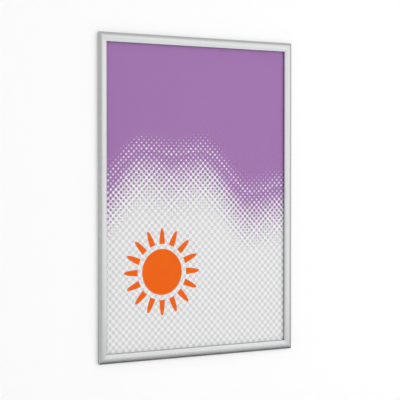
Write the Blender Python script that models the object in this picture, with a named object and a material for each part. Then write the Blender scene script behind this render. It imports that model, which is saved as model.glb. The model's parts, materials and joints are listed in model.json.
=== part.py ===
"""Wall-hung snap frame: a mitred base, sheets laid in it, and four front rails that hinge shut.

Sections are drawn in two measures: u runs inward from the frame's outer edge along its face,
and w runs out from the wall. The frame's centre on the wall plane is the world's origin, +Z is
up, +X is to the right and -Y comes out of the wall.
"""
import math

import bmesh
import bpy
from mathutils import Matrix, Vector

# Sheets that the frame holds
POSTER_WIDTH = 0.594
POSTER_HEIGHT = 0.841
POSTER_THICKNESS = 0.00025
COVER_THICKNESS = 0.0006
BACK_PANEL_THICKNESS = 0.001
POSTER_COVERED_EDGE = 0.010
SHEET_GAP = 0.0003
SHEET_EDGE_CLEARANCE = 0.0003

# Clearances between pieces and overrun of cutting tools
FIT_CLEARANCE = 0.0003
HINGE_CLEARANCE = 0.0003
MITRE_GAP = 0.0003
CUT_OVERRUN = 0.001

# Corner brackets and their grub screws
BRACKET_WIDTH = 0.0067
BRACKET_THICKNESS = 0.0015
BRACKET_LEG = 0.045
SCREW_RADIUS = 0.002
SCREW_LENGTH = 0.0022
SCREW_FROM_LEG_END = 0.010
SCREW_SOCKET_RADIUS = 0.00115
SCREW_SOCKET_DEPTH = 0.0012

# Base rail section
BASE_WEB = 0.0012
BASE_FOOT_INSET = 0.003
BASE_WALL = 0.0009
BASE_SHELF_SETBACK = 0.0008
CHANNEL_STANDOFF = 0.0015
CHANNEL_RIB = 0.001
CHANNEL_LIP = 0.0008
CHANNEL_LIP_THICKNESS = 0.0008
WALL_HOLE_RADIUS = 0.00225
WALL_HOLE_FROM_CORNER = 0.120

# Hinge bead on the base rail
HINGE_INSET = 0.002
HINGE_ABOVE_CHANNEL = 0.0013
HINGE_BEAD_RADIUS = 0.0011
HINGE_NECK = 0.0009
HINGE_NECK_LENGTH = 0.0018

# Snap rail section
SNAP_SKIN = 0.0012
SNAP_LIP_WALL = 0.001
SNAP_LIP_RADIUS = 0.0008
SNAP_LIP_DROP = 0.0016
SNAP_CEILING_CLEARANCE = 0.0009
SNAP_CLAW_WALL = 0.0008
SNAP_ROOT_MARGIN = 0.0003
SNAP_SKIRT_RISE = 0.0011
SNAP_HEEL_RISE = 0.0003
SNAP_HEEL_REACH = 0.0054
SNAP_HEEL_THICKNESS = 0.0009
SNAP_HOOK_HEIGHT = 0.0005
SNAP_RELIEF_LENGTH = 0.012
SNAP_RELIEF_STEP = 0.0003
SNAP_CORNER_RADIUS = 0.0035
CROWN_PLACE_SHARE = 0.52
CLAW_END_DEG = -55.0

# Gasket in the snap rail's inner lip
GASKET_FOOT_WIDTH = 0.0036
GASKET_FOOT_THICKNESS = 0.0006
GASKET_NECK_WIDTH = 0.0012
GASKET_BULB_WIDTH = 0.002
GASKET_BULB_HEIGHT = 0.001
GASKET_BULB_CHAMFER = 0.0003

# Leaf springs under the snap rails
SPRING_THICKNESS = 0.0005
SPRING_LENGTH = 0.012
SPRING_BEND_RADIUS = 0.0007
SPRING_NOSE_LENGTH = 0.0008
SPRINGS_PER_LONG_RAIL = 3
SPRINGS_PER_SHORT_RAIL = 2

# How finely round stretches are cut
BEAD_STEPS = 14
CLAW_STEPS = 10
CROWN_STEPS = 14
SLOPE_STEPS = 6
LIP_STEPS = 5
BEND_STEPS = 6
CORNER_STEPS = 6
ROUND_SIDES = 24
SOCKET_SIDES = 6

# Section places worked out from the sizes above, along u
CHANNEL_OUTER_U = BASE_FOOT_INSET + BASE_WALL + CHANNEL_STANDOFF
CHANNEL_START_U = CHANNEL_OUTER_U + CHANNEL_RIB
CHANNEL_END_U = CHANNEL_START_U + BRACKET_WIDTH + 2 * FIT_CLEARANCE
CHANNEL_INNER_U = CHANNEL_END_U + CHANNEL_RIB
CHANNEL_MIDDLE_U = (CHANNEL_START_U + CHANNEL_END_U) / 2
SHEET_EDGE_U = CHANNEL_INNER_U + SHEET_EDGE_CLEARANCE
RAIL_WIDTH = SHEET_EDGE_U + POSTER_COVERED_EDGE
CROWN_U = RAIL_WIDTH * CROWN_PLACE_SHARE

# Section places worked out from the sizes above, along w
CHANNEL_LIP_W = BASE_WEB + BRACKET_THICKNESS + 2 * FIT_CLEARANCE
CHANNEL_TOP_W = CHANNEL_LIP_W + CHANNEL_LIP_THICKNESS
HINGE_W = CHANNEL_TOP_W + HINGE_ABOVE_CHANNEL
SKIRT_W = HINGE_W + SNAP_SKIRT_RISE
HEEL_W = HINGE_W + SNAP_HEEL_RISE
BACK_PANEL_W = BASE_WEB + SHEET_GAP
POSTER_W = BACK_PANEL_W + BACK_PANEL_THICKNESS + SHEET_GAP
COVER_W = POSTER_W + POSTER_THICKNESS + SHEET_GAP
GASKET_W = COVER_W + COVER_THICKNESS + SHEET_GAP
LEG_W = GASKET_W + GASKET_FOOT_THICKNESS + FIT_CLEARANCE
BULB_W = LEG_W + SNAP_HOOK_HEIGHT + FIT_CLEARANCE
BULB_TOP_W = BULB_W + GASKET_BULB_HEIGHT
LIP_TOP_W = BULB_TOP_W + SNAP_CEILING_CLEARANCE + SNAP_SKIN
FRAME_DEPTH = LIP_TOP_W + SNAP_LIP_DROP

# Outer size of the whole frame
FRAME_WIDTH = POSTER_WIDTH + 2 * SHEET_EDGE_U
FRAME_HEIGHT = POSTER_HEIGHT + 2 * SHEET_EDGE_U

# Each side, a quarter turn about Y after the one before: its name, half of its outer length,
# half of the frame's size across it, and its count of springs
SIDES = (
    ("top", FRAME_WIDTH / 2, FRAME_HEIGHT / 2, SPRINGS_PER_SHORT_RAIL),
    ("right", FRAME_HEIGHT / 2, FRAME_WIDTH / 2, SPRINGS_PER_LONG_RAIL),
    ("bottom", FRAME_WIDTH / 2, FRAME_HEIGHT / 2, SPRINGS_PER_SHORT_RAIL),
    ("left", FRAME_HEIGHT / 2, FRAME_WIDTH / 2, SPRINGS_PER_LONG_RAIL),
)
# The corner after each of those sides, going round the same way
CORNERS = ("top_right", "bottom_right", "bottom_left", "top_left")


def clear_scene():
    for item in list(bpy.data.objects):
        bpy.data.objects.remove(item, do_unlink=True)


def make_material(name, colour, roughness, metallic):
    material = bpy.data.materials.new(name)
    material.use_nodes = True
    shader = material.node_tree.nodes["Principled BSDF"]
    shader.inputs["Base Color"].default_value = (*colour, 1.0)
    shader.inputs["Roughness"].default_value = roughness
    shader.inputs["Metallic"].default_value = metallic
    return material


def arc_points(centre, radius, start_deg, end_deg, steps):
    """Points on a circle, counted from +u towards +w."""
    points = []
    for step in range(steps + 1):
        angle = math.radians(start_deg + (end_deg - start_deg) * step / steps)
        points.append((centre[0] + radius * math.cos(angle), centre[1] + radius * math.sin(angle)))
    return points


def prism_mesh(name, near_end, far_end):
    """A closed solid between two rings of the same count of points."""
    shape = bmesh.new()
    near = [shape.verts.new(point) for point in near_end]
    far = [shape.verts.new(point) for point in far_end]
    shape.faces.new(near)
    shape.faces.new(reversed(far))
    for index in range(len(near)):
        following = (index + 1) % len(near)
        shape.faces.new((near[index], far[index], far[following], near[following]))
    bmesh.ops.recalc_face_normals(shape, faces=shape.faces)
    mesh = bpy.data.meshes.new(name)
    shape.to_mesh(mesh)
    shape.free()
    return mesh


def add_object(name, mesh, material, place=None):
    piece = bpy.data.objects.new(name, mesh)
    bpy.context.collection.objects.link(piece)
    if material is not None:
        mesh.materials.clear()
        mesh.materials.append(material)
    if place is not None:
        piece.matrix_world = place
    return piece


def add_cutter(name, mesh, place):
    cutter = add_object(name, mesh, None, place)
    cutter.hide_render = True
    cutter.display_type = "WIRE"
    return cutter


def cut_away(piece, cutter):
    cut = piece.modifiers.new(cutter.name, "BOOLEAN")
    cut.operation = "DIFFERENCE"
    cut.solver = "EXACT"
    cut.object = cutter


def smooth_round_faces(mesh, limit_deg=30.0):
    mesh.shade_smooth()
    mesh.set_sharp_from_angle(angle=math.radians(limit_deg))


def quarter_turns(turns):
    """Turn about Y from the top side to one that comes after it."""
    return Matrix.Rotation(math.radians(90.0) * turns, 4, "Y")


def side_place(turns, half_across, along=0):
    """Frame of one side: x along the rail, z outward, and its origin on the hinge axis."""
    return quarter_turns(turns) @ Matrix.Translation((along, -HINGE_W, half_across - HINGE_INSET))


def section_point(along, u, w):
    """A point of a section in its side's own frame."""
    return Vector((along, HINGE_W - w, HINGE_INSET - u))


def mitred_mesh(name, outline, half_length):
    """The outline carried along a side, cut at both ends on the corner's diagonal."""
    end_setback = MITRE_GAP / math.sqrt(2)
    ends = []
    for sign in (-1, 1):
        ends.append([section_point(sign * (half_length - u - end_setback), u, w) for u, w in outline])
    return prism_mesh(name, ends[0], ends[1])


def straight_mesh(name, outline, start, end):
    """The outline carried along a side between two square cuts."""
    near = [section_point(start, u, w) for u, w in outline]
    far = [section_point(end, u, w) for u, w in outline]
    return prism_mesh(name, near, far)


def strip_outline(path, thickness):
    """Outline of a strip of even thickness round an open path of points."""
    left = []
    right = []
    for index, point in enumerate(path):
        here = Vector(point)
        before = Vector(path[max(index - 1, 0)])
        after = Vector(path[min(index + 1, len(path) - 1)])
        directions = [step.normalized() for step in (here - before, after - here) if step.length > 0]
        middle = sum(directions, Vector((0, 0))).normalized()
        normal = Vector((-middle.y, middle.x))
        reach = thickness / 2 / middle.dot(directions[0])
        left.append(tuple(here + normal * reach))
        right.append(tuple(here - normal * reach))
    return left + right[::-1]


def base_rail_outline():
    """Flat web, slanted outer wall with the hinge bead, and the lipped channel."""
    hinge = (HINGE_INSET, HINGE_W)
    half_neck = HINGE_NECK / 2
    neck_foot_w = HINGE_W - HINGE_NECK_LENGTH
    neck_deg = math.degrees(math.asin(half_neck / HINGE_BEAD_RADIUS))
    outline = [
        (BASE_FOOT_INSET, 0),
        (RAIL_WIDTH - BASE_SHELF_SETBACK, 0),
        (RAIL_WIDTH - BASE_SHELF_SETBACK, BASE_WEB),
        (CHANNEL_INNER_U, BASE_WEB),
        (CHANNEL_INNER_U, CHANNEL_TOP_W),
        (CHANNEL_END_U - CHANNEL_LIP, CHANNEL_TOP_W),
        (CHANNEL_END_U - CHANNEL_LIP, CHANNEL_LIP_W),
        (CHANNEL_END_U, CHANNEL_LIP_W),
        (CHANNEL_END_U, BASE_WEB),
        (CHANNEL_START_U, BASE_WEB),
        (CHANNEL_START_U, CHANNEL_LIP_W),
        (CHANNEL_START_U + CHANNEL_LIP, CHANNEL_LIP_W),
        (CHANNEL_START_U + CHANNEL_LIP, CHANNEL_TOP_W),
        (CHANNEL_OUTER_U, CHANNEL_TOP_W),
        (CHANNEL_OUTER_U, BASE_WEB),
        (BASE_FOOT_INSET + BASE_WALL, BASE_WEB),
        (HINGE_INSET + half_neck, neck_foot_w),
    ]
    outline += arc_points(hinge, HINGE_BEAD_RADIUS, neck_deg - 90.0, 270.0 - neck_deg, BEAD_STEPS)
    outline += [(HINGE_INSET - half_neck, neck_foot_w), (BASE_FOOT_INSET, BASE_WEB)]
    return outline


def slope_w(u):
    """Height of the snap rail's face between its crown and its inner lip."""
    return FRAME_DEPTH - SNAP_LIP_DROP * ((u - CROWN_U) / (RAIL_WIDTH - CROWN_U)) ** 2


def crown_w(u):
    """Height of the snap rail's face between its outer edge and its crown, a quarter ellipse."""
    return SKIRT_W + (FRAME_DEPTH - SKIRT_W) * math.sqrt(1 - ((CROWN_U - u) / CROWN_U) ** 2)


def snap_rail_outline():
    """Convex face, inner lip with the gasket's groove, heel and the claw round the bead."""
    hinge = (HINGE_INSET, HINGE_W)
    outline = []
    for step in range(CROWN_STEPS + 1):
        turn = math.pi / 2 * step / CROWN_STEPS
        outline.append((CROWN_U * (1 - math.cos(turn)),
                        SKIRT_W + (FRAME_DEPTH - SKIRT_W) * math.sin(turn)))
    lean = math.atan(2 * SNAP_LIP_DROP / (RAIL_WIDTH - CROWN_U))
    slope_end_u = RAIL_WIDTH - SNAP_LIP_RADIUS * (1 - math.sin(lean))
    for step in range(1, SLOPE_STEPS):
        u = CROWN_U + (slope_end_u - CROWN_U) * step / SLOPE_STEPS
        outline.append((u, slope_w(u)))
    lip_centre = (RAIL_WIDTH - SNAP_LIP_RADIUS, slope_w(slope_end_u) - SNAP_LIP_RADIUS * math.cos(lean))
    outline += arc_points(lip_centre, SNAP_LIP_RADIUS, 90.0 - math.degrees(lean), 0, LIP_STEPS)
    outline += gasket_groove_points()
    heel_tip_u = HINGE_INSET + SNAP_HEEL_REACH
    claw_radius = HINGE_BEAD_RADIUS + HINGE_CLEARANCE
    outer_radius = claw_radius + SNAP_CLAW_WALL
    heel_deg = math.degrees(math.asin(SNAP_HEEL_RISE / outer_radius))
    heel_root_u = HINGE_INSET + outer_radius + SNAP_ROOT_MARGIN
    outline += [
        (CROWN_U, FRAME_DEPTH - SNAP_SKIN),
        ((CROWN_U + heel_tip_u) / 2, crown_w((CROWN_U + heel_tip_u) / 2) - SNAP_SKIN),
        (heel_tip_u, crown_w(heel_tip_u) - SNAP_SKIN),
        (heel_root_u, crown_w(heel_root_u) - SNAP_SKIN),
        (heel_root_u, HEEL_W + SNAP_HEEL_THICKNESS),
        (heel_tip_u, HEEL_W + SNAP_HEEL_THICKNESS),
        (heel_tip_u, HEEL_W),
    ]
    skirt_deg = 180.0 - math.degrees(math.asin(SNAP_SKIRT_RISE / claw_radius))
    outline += arc_points(hinge, outer_radius, heel_deg, CLAW_END_DEG, CLAW_STEPS // 2)
    outline += arc_points(hinge, claw_radius, CLAW_END_DEG, skirt_deg, CLAW_STEPS)
    return outline


def groove_sides():
    """The groove for the gasket: its two walls and the half width of its throat."""
    groove_inner_u = RAIL_WIDTH - SNAP_LIP_WALL
    groove_outer_u = groove_inner_u - GASKET_BULB_WIDTH - 2 * FIT_CLEARANCE
    half_throat = GASKET_NECK_WIDTH / 2 + FIT_CLEARANCE
    return groove_outer_u, groove_inner_u, half_throat


def gasket_groove_points():
    outer_u, inner_u, half_throat = groove_sides()
    middle_u = (outer_u + inner_u) / 2
    leg_u = outer_u - SNAP_LIP_WALL
    hook_w = LEG_W + SNAP_HOOK_HEIGHT
    return [
        (RAIL_WIDTH, LEG_W),
        (middle_u + half_throat, LEG_W),
        (middle_u + half_throat, hook_w),
        (inner_u, hook_w),
        (inner_u, slope_w(inner_u) - SNAP_SKIN),
        (outer_u, slope_w(outer_u) - SNAP_SKIN),
        (outer_u, hook_w),
        (middle_u - half_throat, hook_w),
        (middle_u - half_throat, LEG_W),
        (leg_u, LEG_W),
        (leg_u, slope_w(leg_u) - SNAP_SKIN),
        ((leg_u + CROWN_U) / 2, slope_w((leg_u + CROWN_U) / 2) - SNAP_SKIN),
    ]


def gasket_outline():
    """Foot that meets the cover, neck through the throat and bulb above the hooks."""
    outer_u, inner_u, _ = groove_sides()
    middle_u = (outer_u + inner_u) / 2
    half_foot = GASKET_FOOT_WIDTH / 2
    half_neck = GASKET_NECK_WIDTH / 2
    half_bulb = GASKET_BULB_WIDTH / 2
    right = [
        (half_foot, GASKET_W),
        (half_foot, GASKET_W + GASKET_FOOT_THICKNESS),
        (half_neck, GASKET_W + GASKET_FOOT_THICKNESS),
        (half_neck, BULB_W),
        (half_bulb, BULB_W),
        (half_bulb, BULB_TOP_W - GASKET_BULB_CHAMFER),
        (half_bulb - GASKET_BULB_CHAMFER, BULB_TOP_W),
    ]
    outline = [(middle_u + u, w) for u, w in right]
    outline += [(middle_u - u, w) for u, w in reversed(right)]
    return outline


def spring_outline():
    """Foot in the channel, a bend, and an arm that leans out to a nose under the heel."""
    half = SPRING_THICKNESS / 2
    foot_w = BASE_WEB + FIT_CLEARANCE + half
    bend_u = CHANNEL_END_U - CHANNEL_LIP - FIT_CLEARANCE - half - SPRING_BEND_RADIUS
    bend = Vector((bend_u, foot_w + SPRING_BEND_RADIUS))
    nose = Vector((HINGE_INSET + SNAP_HEEL_REACH, HEEL_W - FIT_CLEARANCE - half))
    reach = nose - bend
    lean = math.atan2(reach.y, reach.x) - math.acos(SPRING_BEND_RADIUS / reach.length)
    path = [(CHANNEL_START_U + FIT_CLEARANCE, foot_w)]
    path += arc_points(bend, SPRING_BEND_RADIUS, -90.0, math.degrees(lean), BEND_STEPS)
    path += [tuple(nose), (nose.x - SPRING_NOSE_LENGTH, nose.y)]
    return strip_outline(path, SPRING_THICKNESS)


def wall_hole_cutter(name, half_length, place):
    """Two round tools through the channel's floor, one near each end of a rail."""
    shape = bmesh.new()
    for sign in (-1, 1):
        along = sign * (half_length - WALL_HOLE_FROM_CORNER)
        middle = section_point(along, CHANNEL_MIDDLE_U, BASE_WEB / 2)
        turn = Matrix.Rotation(math.radians(90.0), 4, "X")
        bmesh.ops.create_cone(shape, cap_ends=True, segments=ROUND_SIDES,
                              radius1=WALL_HOLE_RADIUS, radius2=WALL_HOLE_RADIUS,
                              depth=BASE_WEB + 2 * CUT_OVERRUN,
                              matrix=Matrix.Translation(middle) @ turn)
    mesh = bpy.data.meshes.new(name)
    shape.to_mesh(mesh)
    shape.free()
    return add_cutter(name, mesh, place)


def relief_cutters(name, half_length, place):
    """Tools that free the claw and the heel from a rail's two ends, past the mitre's reach."""
    low = 0
    high = SKIRT_W + SNAP_RELIEF_STEP
    inner_u = HINGE_INSET + SNAP_HEEL_REACH + CUT_OVERRUN
    outline = [(-CUT_OVERRUN, low), (inner_u, low), (inner_u, high), (-CUT_OVERRUN, high)]
    cutters = []
    for sign in (-1, 1):
        start = sign * (half_length - SNAP_RELIEF_LENGTH)
        end = sign * (half_length + CUT_OVERRUN)
        mesh = straight_mesh(name, outline, start, end)
        cutters.append(add_cutter(name + ("_far" if sign > 0 else "_near"), mesh, place))
    return cutters


def corner_cutters(name, half_length, place):
    """Tools that round a rail's two outer corners, seen from the front."""
    radius = SNAP_CORNER_RADIUS
    cutters = []
    for sign in (-1, 1):
        # Distances in from the corner along the rail and across it, the arc last
        plan = [(radius, -CUT_OVERRUN), (-CUT_OVERRUN, -CUT_OVERRUN), (-CUT_OVERRUN, radius)]
        plan += arc_points((radius, radius), radius, 180.0, 270.0, CORNER_STEPS)
        front = [section_point(sign * (half_length - along), u, FRAME_DEPTH + CUT_OVERRUN)
                 for along, u in plan]
        rear = [section_point(sign * (half_length - along), u, 0) for along, u in plan]
        mesh = prism_mesh(name, front, rear)
        cutters.append(add_cutter(name + ("_far" if sign > 0 else "_near"), mesh, place))
    return cutters


def make_base_rail(side, turns, half_length, half_across, has_wall_holes, material):
    place = side_place(turns, half_across)
    mesh = mitred_mesh("base_rail_" + side, base_rail_outline(), half_length)
    smooth_round_faces(mesh)
    rail = add_object("base_rail_" + side, mesh, material, place)
    if has_wall_holes:
        cut_away(rail, wall_hole_cutter("wall_hole_tool_" + side, half_length, place))
    return rail


def make_snap_rail(side, turns, half_length, half_across, material):
    place = side_place(turns, half_across)
    mesh = mitred_mesh("snap_rail_" + side, snap_rail_outline(), half_length)
    smooth_round_faces(mesh)
    rail = add_object("snap_rail_" + side, mesh, material, place)
    for cutter in relief_cutters("relief_tool_" + side, half_length, place):
        cut_away(rail, cutter)
    for cutter in corner_cutters("corner_tool_" + side, half_length, place):
        cut_away(rail, cutter)
    return rail


def make_gasket(side, turns, half_length, half_across, rail, material):
    mesh = mitred_mesh("gasket_" + side, gasket_outline(), half_length)
    gasket = add_object("gasket_" + side, mesh, material, side_place(turns, half_across))
    gasket.parent = rail
    gasket.matrix_parent_inverse = side_place(turns, half_across).inverted()
    return gasket


def make_springs(side, turns, half_length, half_across, count, mesh, material):
    for index in range(count):
        along = half_length * (2 * (index + 1) / (count + 1) - 1)
        name = "spring_%s_%d" % (side, index + 1)
        add_object(name, mesh, material, side_place(turns, half_across, along))


def corner_place(turns, w):
    """Frame of one corner, its origin at the outer corner and x and z both outward."""
    _, half_length, half_across, _ = SIDES[turns]
    return quarter_turns(turns) @ Matrix.Translation((half_length, -w, half_across))


def screw_places():
    """Where a bracket's two screws stand, as distances in from the corner."""
    far = CHANNEL_START_U + FIT_CLEARANCE + BRACKET_LEG - SCREW_FROM_LEG_END
    return ((far, CHANNEL_MIDDLE_U), (CHANNEL_MIDDLE_U, far))


def make_bracket(corner, turns, material):
    outer = CHANNEL_START_U + FIT_CLEARANCE
    inner = outer + BRACKET_WIDTH
    end = outer + BRACKET_LEG
    plan = ((outer, outer), (end, outer), (end, inner), (inner, inner), (inner, end), (outer, end))
    half = BRACKET_THICKNESS / 2
    front = [(-x, -half, -z) for x, z in plan]
    rear = [(-x, half, -z) for x, z in plan]
    place = corner_place(turns, BASE_WEB + FIT_CLEARANCE + half)
    mesh = prism_mesh("corner_bracket_" + corner, front, rear)
    bracket = add_object("corner_bracket_" + corner, mesh, material, place)
    shape = bmesh.new()
    for x, z in screw_places():
        turn = Matrix.Rotation(math.radians(90.0), 4, "X")
        bmesh.ops.create_cone(shape, cap_ends=True, segments=ROUND_SIDES,
                              radius1=SCREW_RADIUS + FIT_CLEARANCE, radius2=SCREW_RADIUS + FIT_CLEARANCE,
                              depth=BRACKET_THICKNESS + 2 * CUT_OVERRUN,
                              matrix=Matrix.Translation((-x, 0, -z)) @ turn)
    tool = bpy.data.meshes.new("screw_hole_tool_" + corner)
    shape.to_mesh(tool)
    shape.free()
    cut_away(bracket, add_cutter("screw_hole_tool_" + corner, tool, place))


def make_screws(corner, turns, mesh, socket, material):
    half = SCREW_LENGTH / 2
    place = corner_place(turns, BASE_WEB + FIT_CLEARANCE + half)
    for index, (x, z) in enumerate(screw_places()):
        name = "grub_screw_%s_%d" % (corner, index + 1)
        there = place @ Matrix.Translation((-x, 0, -z))
        screw = add_object(name, mesh, material, there)
        cut_away(screw, add_cutter(name + "_socket_tool", socket, there))


def screw_meshes():
    """The grub screw's shank and the tool for its six-sided socket, both centred on its axis."""
    meshes = []
    shank = (SCREW_RADIUS, SCREW_LENGTH, 0, ROUND_SIDES)
    socket_depth = SCREW_SOCKET_DEPTH + CUT_OVERRUN
    socket_y = -(SCREW_LENGTH + socket_depth) / 2 + SCREW_SOCKET_DEPTH
    socket = (SCREW_SOCKET_RADIUS, socket_depth, socket_y, SOCKET_SIDES)
    for radius, depth, y, sides in (shank, socket):
        shape = bmesh.new()
        turn = Matrix.Rotation(math.radians(90.0), 4, "X")
        bmesh.ops.create_cone(shape, cap_ends=True, segments=sides, radius1=radius, radius2=radius,
                              depth=depth, matrix=Matrix.Translation((0, y, 0)) @ turn)
        mesh = bpy.data.meshes.new("grub_screw_mesh")
        shape.to_mesh(mesh)
        shape.free()
        meshes.append(mesh)
    return meshes


def make_sheet(name, thickness, rear_w, material):
    """A flat sheet of the poster's size, its rear face at rear_w."""
    shape = bmesh.new()
    bmesh.ops.create_cube(shape, size=1.0)
    bmesh.ops.scale(shape, verts=shape.verts, vec=(POSTER_WIDTH, thickness, POSTER_HEIGHT))
    mesh = bpy.data.meshes.new(name)
    shape.to_mesh(mesh)
    shape.free()
    add_object(name, mesh, material, Matrix.Translation((0, -rear_w - thickness / 2, 0)))


def build():
    clear_scene()
    aluminium = make_material("anodised_aluminium", (0.73, 0.74, 0.74), 0.34, 1.0)
    mill_aluminium = make_material("plain_aluminium", (0.62, 0.63, 0.64), 0.42, 1.0)
    rubber = make_material("gasket_rubber", (0.03, 0.03, 0.032), 0.7, 0.0)
    spring_steel = make_material("spring_steel", (0.45, 0.46, 0.48), 0.3, 1.0)
    zinc_steel = make_material("zinc_plated_steel", (0.58, 0.6, 0.62), 0.35, 1.0)
    panel_plastic = make_material("panel_plastic", (0.72, 0.72, 0.7), 0.6, 0.0)
    print_paper = make_material("printed_paper", (0.35, 0.18, 0.41), 0.55, 0.0)
    clear_plastic = make_material("clear_plastic", (0.9, 0.92, 0.93), 0.15, 0.0)

    spring_mesh = straight_mesh("spring", spring_outline(), -SPRING_LENGTH / 2, SPRING_LENGTH / 2)
    smooth_round_faces(spring_mesh, 40.0)
    for turns, (side, half_length, half_across, springs) in enumerate(SIDES):
        is_long = half_length > half_across
        make_base_rail(side, turns, half_length, half_across, is_long, mill_aluminium)
        rail = make_snap_rail(side, turns, half_length, half_across, aluminium)
        make_gasket(side, turns, half_length, half_across, rail, rubber)
        make_springs(side, turns, half_length, half_across, springs, spring_mesh, spring_steel)

    screw_mesh, socket_mesh = screw_meshes()
    for turns, corner in enumerate(CORNERS):
        make_bracket(corner, turns, zinc_steel)
        make_screws(corner, turns, screw_mesh, socket_mesh, zinc_steel)

    make_sheet("back_panel", BACK_PANEL_THICKNESS, BACK_PANEL_W, panel_plastic)
    make_sheet("poster", POSTER_THICKNESS, POSTER_W, print_paper)
    make_sheet("front_cover", COVER_THICKNESS, COVER_W, clear_plastic)


build()
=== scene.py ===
"""Looks of the wall-hung snap frame: fine sections, finishes, a printed sheet and a small studio.

Sections are drawn in two measures: u runs inward from the frame's outer edge along its face, and
w runs out from the wall. The top side is drawn at its place, and each side after it, clockwise
from the front, is the same drawing turned a quarter turn about Y.
"""
import json
import math
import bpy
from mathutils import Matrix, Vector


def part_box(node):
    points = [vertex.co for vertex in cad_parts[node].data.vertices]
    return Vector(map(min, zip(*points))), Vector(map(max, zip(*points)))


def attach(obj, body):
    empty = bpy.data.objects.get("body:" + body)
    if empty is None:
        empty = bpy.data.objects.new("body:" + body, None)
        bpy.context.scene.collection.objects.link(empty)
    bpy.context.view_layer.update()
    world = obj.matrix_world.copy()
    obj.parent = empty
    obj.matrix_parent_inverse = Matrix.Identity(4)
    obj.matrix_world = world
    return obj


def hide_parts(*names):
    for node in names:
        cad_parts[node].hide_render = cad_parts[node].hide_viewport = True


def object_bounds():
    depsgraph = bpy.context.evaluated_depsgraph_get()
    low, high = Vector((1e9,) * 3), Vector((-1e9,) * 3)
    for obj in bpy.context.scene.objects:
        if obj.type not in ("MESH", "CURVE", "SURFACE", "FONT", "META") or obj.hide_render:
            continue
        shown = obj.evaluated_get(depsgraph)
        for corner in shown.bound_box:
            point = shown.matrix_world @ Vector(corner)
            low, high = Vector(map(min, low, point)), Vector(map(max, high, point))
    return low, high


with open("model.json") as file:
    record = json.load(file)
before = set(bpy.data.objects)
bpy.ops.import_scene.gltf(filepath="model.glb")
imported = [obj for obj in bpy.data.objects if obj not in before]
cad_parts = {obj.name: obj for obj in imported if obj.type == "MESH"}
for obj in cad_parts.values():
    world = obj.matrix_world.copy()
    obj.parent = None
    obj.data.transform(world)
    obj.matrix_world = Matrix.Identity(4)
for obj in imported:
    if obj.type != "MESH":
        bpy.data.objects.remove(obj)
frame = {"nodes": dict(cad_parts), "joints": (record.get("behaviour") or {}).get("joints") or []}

from types import SimpleNamespace

import bmesh
import bpy
import numpy as np
from bpy.props import FloatProperty, FloatVectorProperty, PointerProperty

bl_info = {
    "name": "Snap Frame Looks",
    "version": (1, 0, 0),
    "blender": (4, 5, 0),
    "location": "View3D > Sidebar > Snap Frame",
    "description": "Builds the visible pieces, finishes and studio of a wall-hung snap frame",
    "category": "Object",
}

MM = 0.001
CAD_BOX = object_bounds()
SIDES = ("top", "right", "bottom", "left")
GRAIN_MAP = "along_round"
SAWN_MASK = "sawn"
# What the mask holds for a face
PRESSED = 0.0
SAWN = 1.0


def cad_place(node, axis, end):
    """Lowest (end 0) or highest (end 1) place of a node along an axis."""
    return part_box(node)[end][axis]


# Places that the frame itself gives, in metres
HALF_WIDTH = CAD_BOX[1][0]
HALF_HEIGHT = CAD_BOX[1][2]
FRAME_DEPTH = -CAD_BOX[0][1]
RAIL_WIDTH = HALF_HEIGHT - cad_place("snap_rail_top", 2, 0)
HINGE_POINT = next(joint["pos_m"] for joint in frame["joints"] if joint["name"] == "top_rail_hinge")
HINGE_U = HALF_HEIGHT - HINGE_POINT[2]
HINGE_W = -HINGE_POINT[1]
BEAD_RADIUS = HINGE_U - (HALF_HEIGHT - cad_place("base_rail_top", 2, 1))
SHELF_U = HALF_HEIGHT - cad_place("base_rail_top", 2, 0)
GASKET_W = -cad_place("gasket_top", 1, 1)
BULB_TOP_W = -cad_place("gasket_top", 1, 0)
GASKET_OUTER_U = HALF_HEIGHT - cad_place("gasket_top", 2, 1)
GASKET_INNER_U = HALF_HEIGHT - cad_place("gasket_top", 2, 0)
SPRING_START_U = HALF_HEIGHT - cad_place("spring_top_1", 2, 1)
SPRING_FOOT_W = -cad_place("spring_top_1", 1, 1)
SPRING_TOP_W = -cad_place("spring_top_1", 1, 0)
SPRING_HALF_LENGTH = (cad_place("spring_top_1", 0, 1) - cad_place("spring_top_1", 0, 0)) / 2

# Each side: half of its outer length and half of the frame's size across it
SIDE_SIZES = ((HALF_WIDTH, HALF_HEIGHT), (HALF_HEIGHT, HALF_WIDTH)) * 2

# Gaps and bounds of the sections that the frame doesn't give. The claw's mouth ends at this turn
CLAW_END_DEG = -55.0
MITRE_GAP = 0.3 * MM
# How far each of two rails stays back along its length to leave the mitre's gap
MITRE_SETBACK = MITRE_GAP / math.sqrt(2)
SPRING_GAP = 0.3 * MM
SPRING_EDGE_RADIUS = 0.05 * MM
PLATE_CORNER_RADIUS = 1.5 * MM
PANEL_EDGE_RADIUS = 0.12 * MM
COVER_EDGE_RADIUS = 0.1 * MM
POSTER_RIPPLE = 0.1 * MM

# How finely the outlines and meshes are drawn
CROWN_POINTS = 56
SLOPE_POINTS = 26
INNER_CEILING_POINTS = 10
OUTER_CEILING_POINTS = 14
LIP_STEPS = 12
HEEL_STEPS = 14
CLAW_STEPS = 36
BEAD_STEPS = 40
RELIEF_POINTS = 4
CORNER_POINTS = 9
BEND_STEPS = 16
HOLE_SEGMENTS = 48
PLATE_QUADRANT_POINTS = 18
PLATE_EDGE_POINTS = 4
SHEET_GRID = (41, 57)
# The sheet's two slow waves: how far each turns across and up half of it, in radians
SHEET_WAVES = ((5.1, 1.7), (-0.9, 3.3))
# Points nearer than this are one point, and edges that turn by more than this stay sharp
SEAM_REACH = 0.0015 * MM
SHARP_DEG = 32.0


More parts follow.
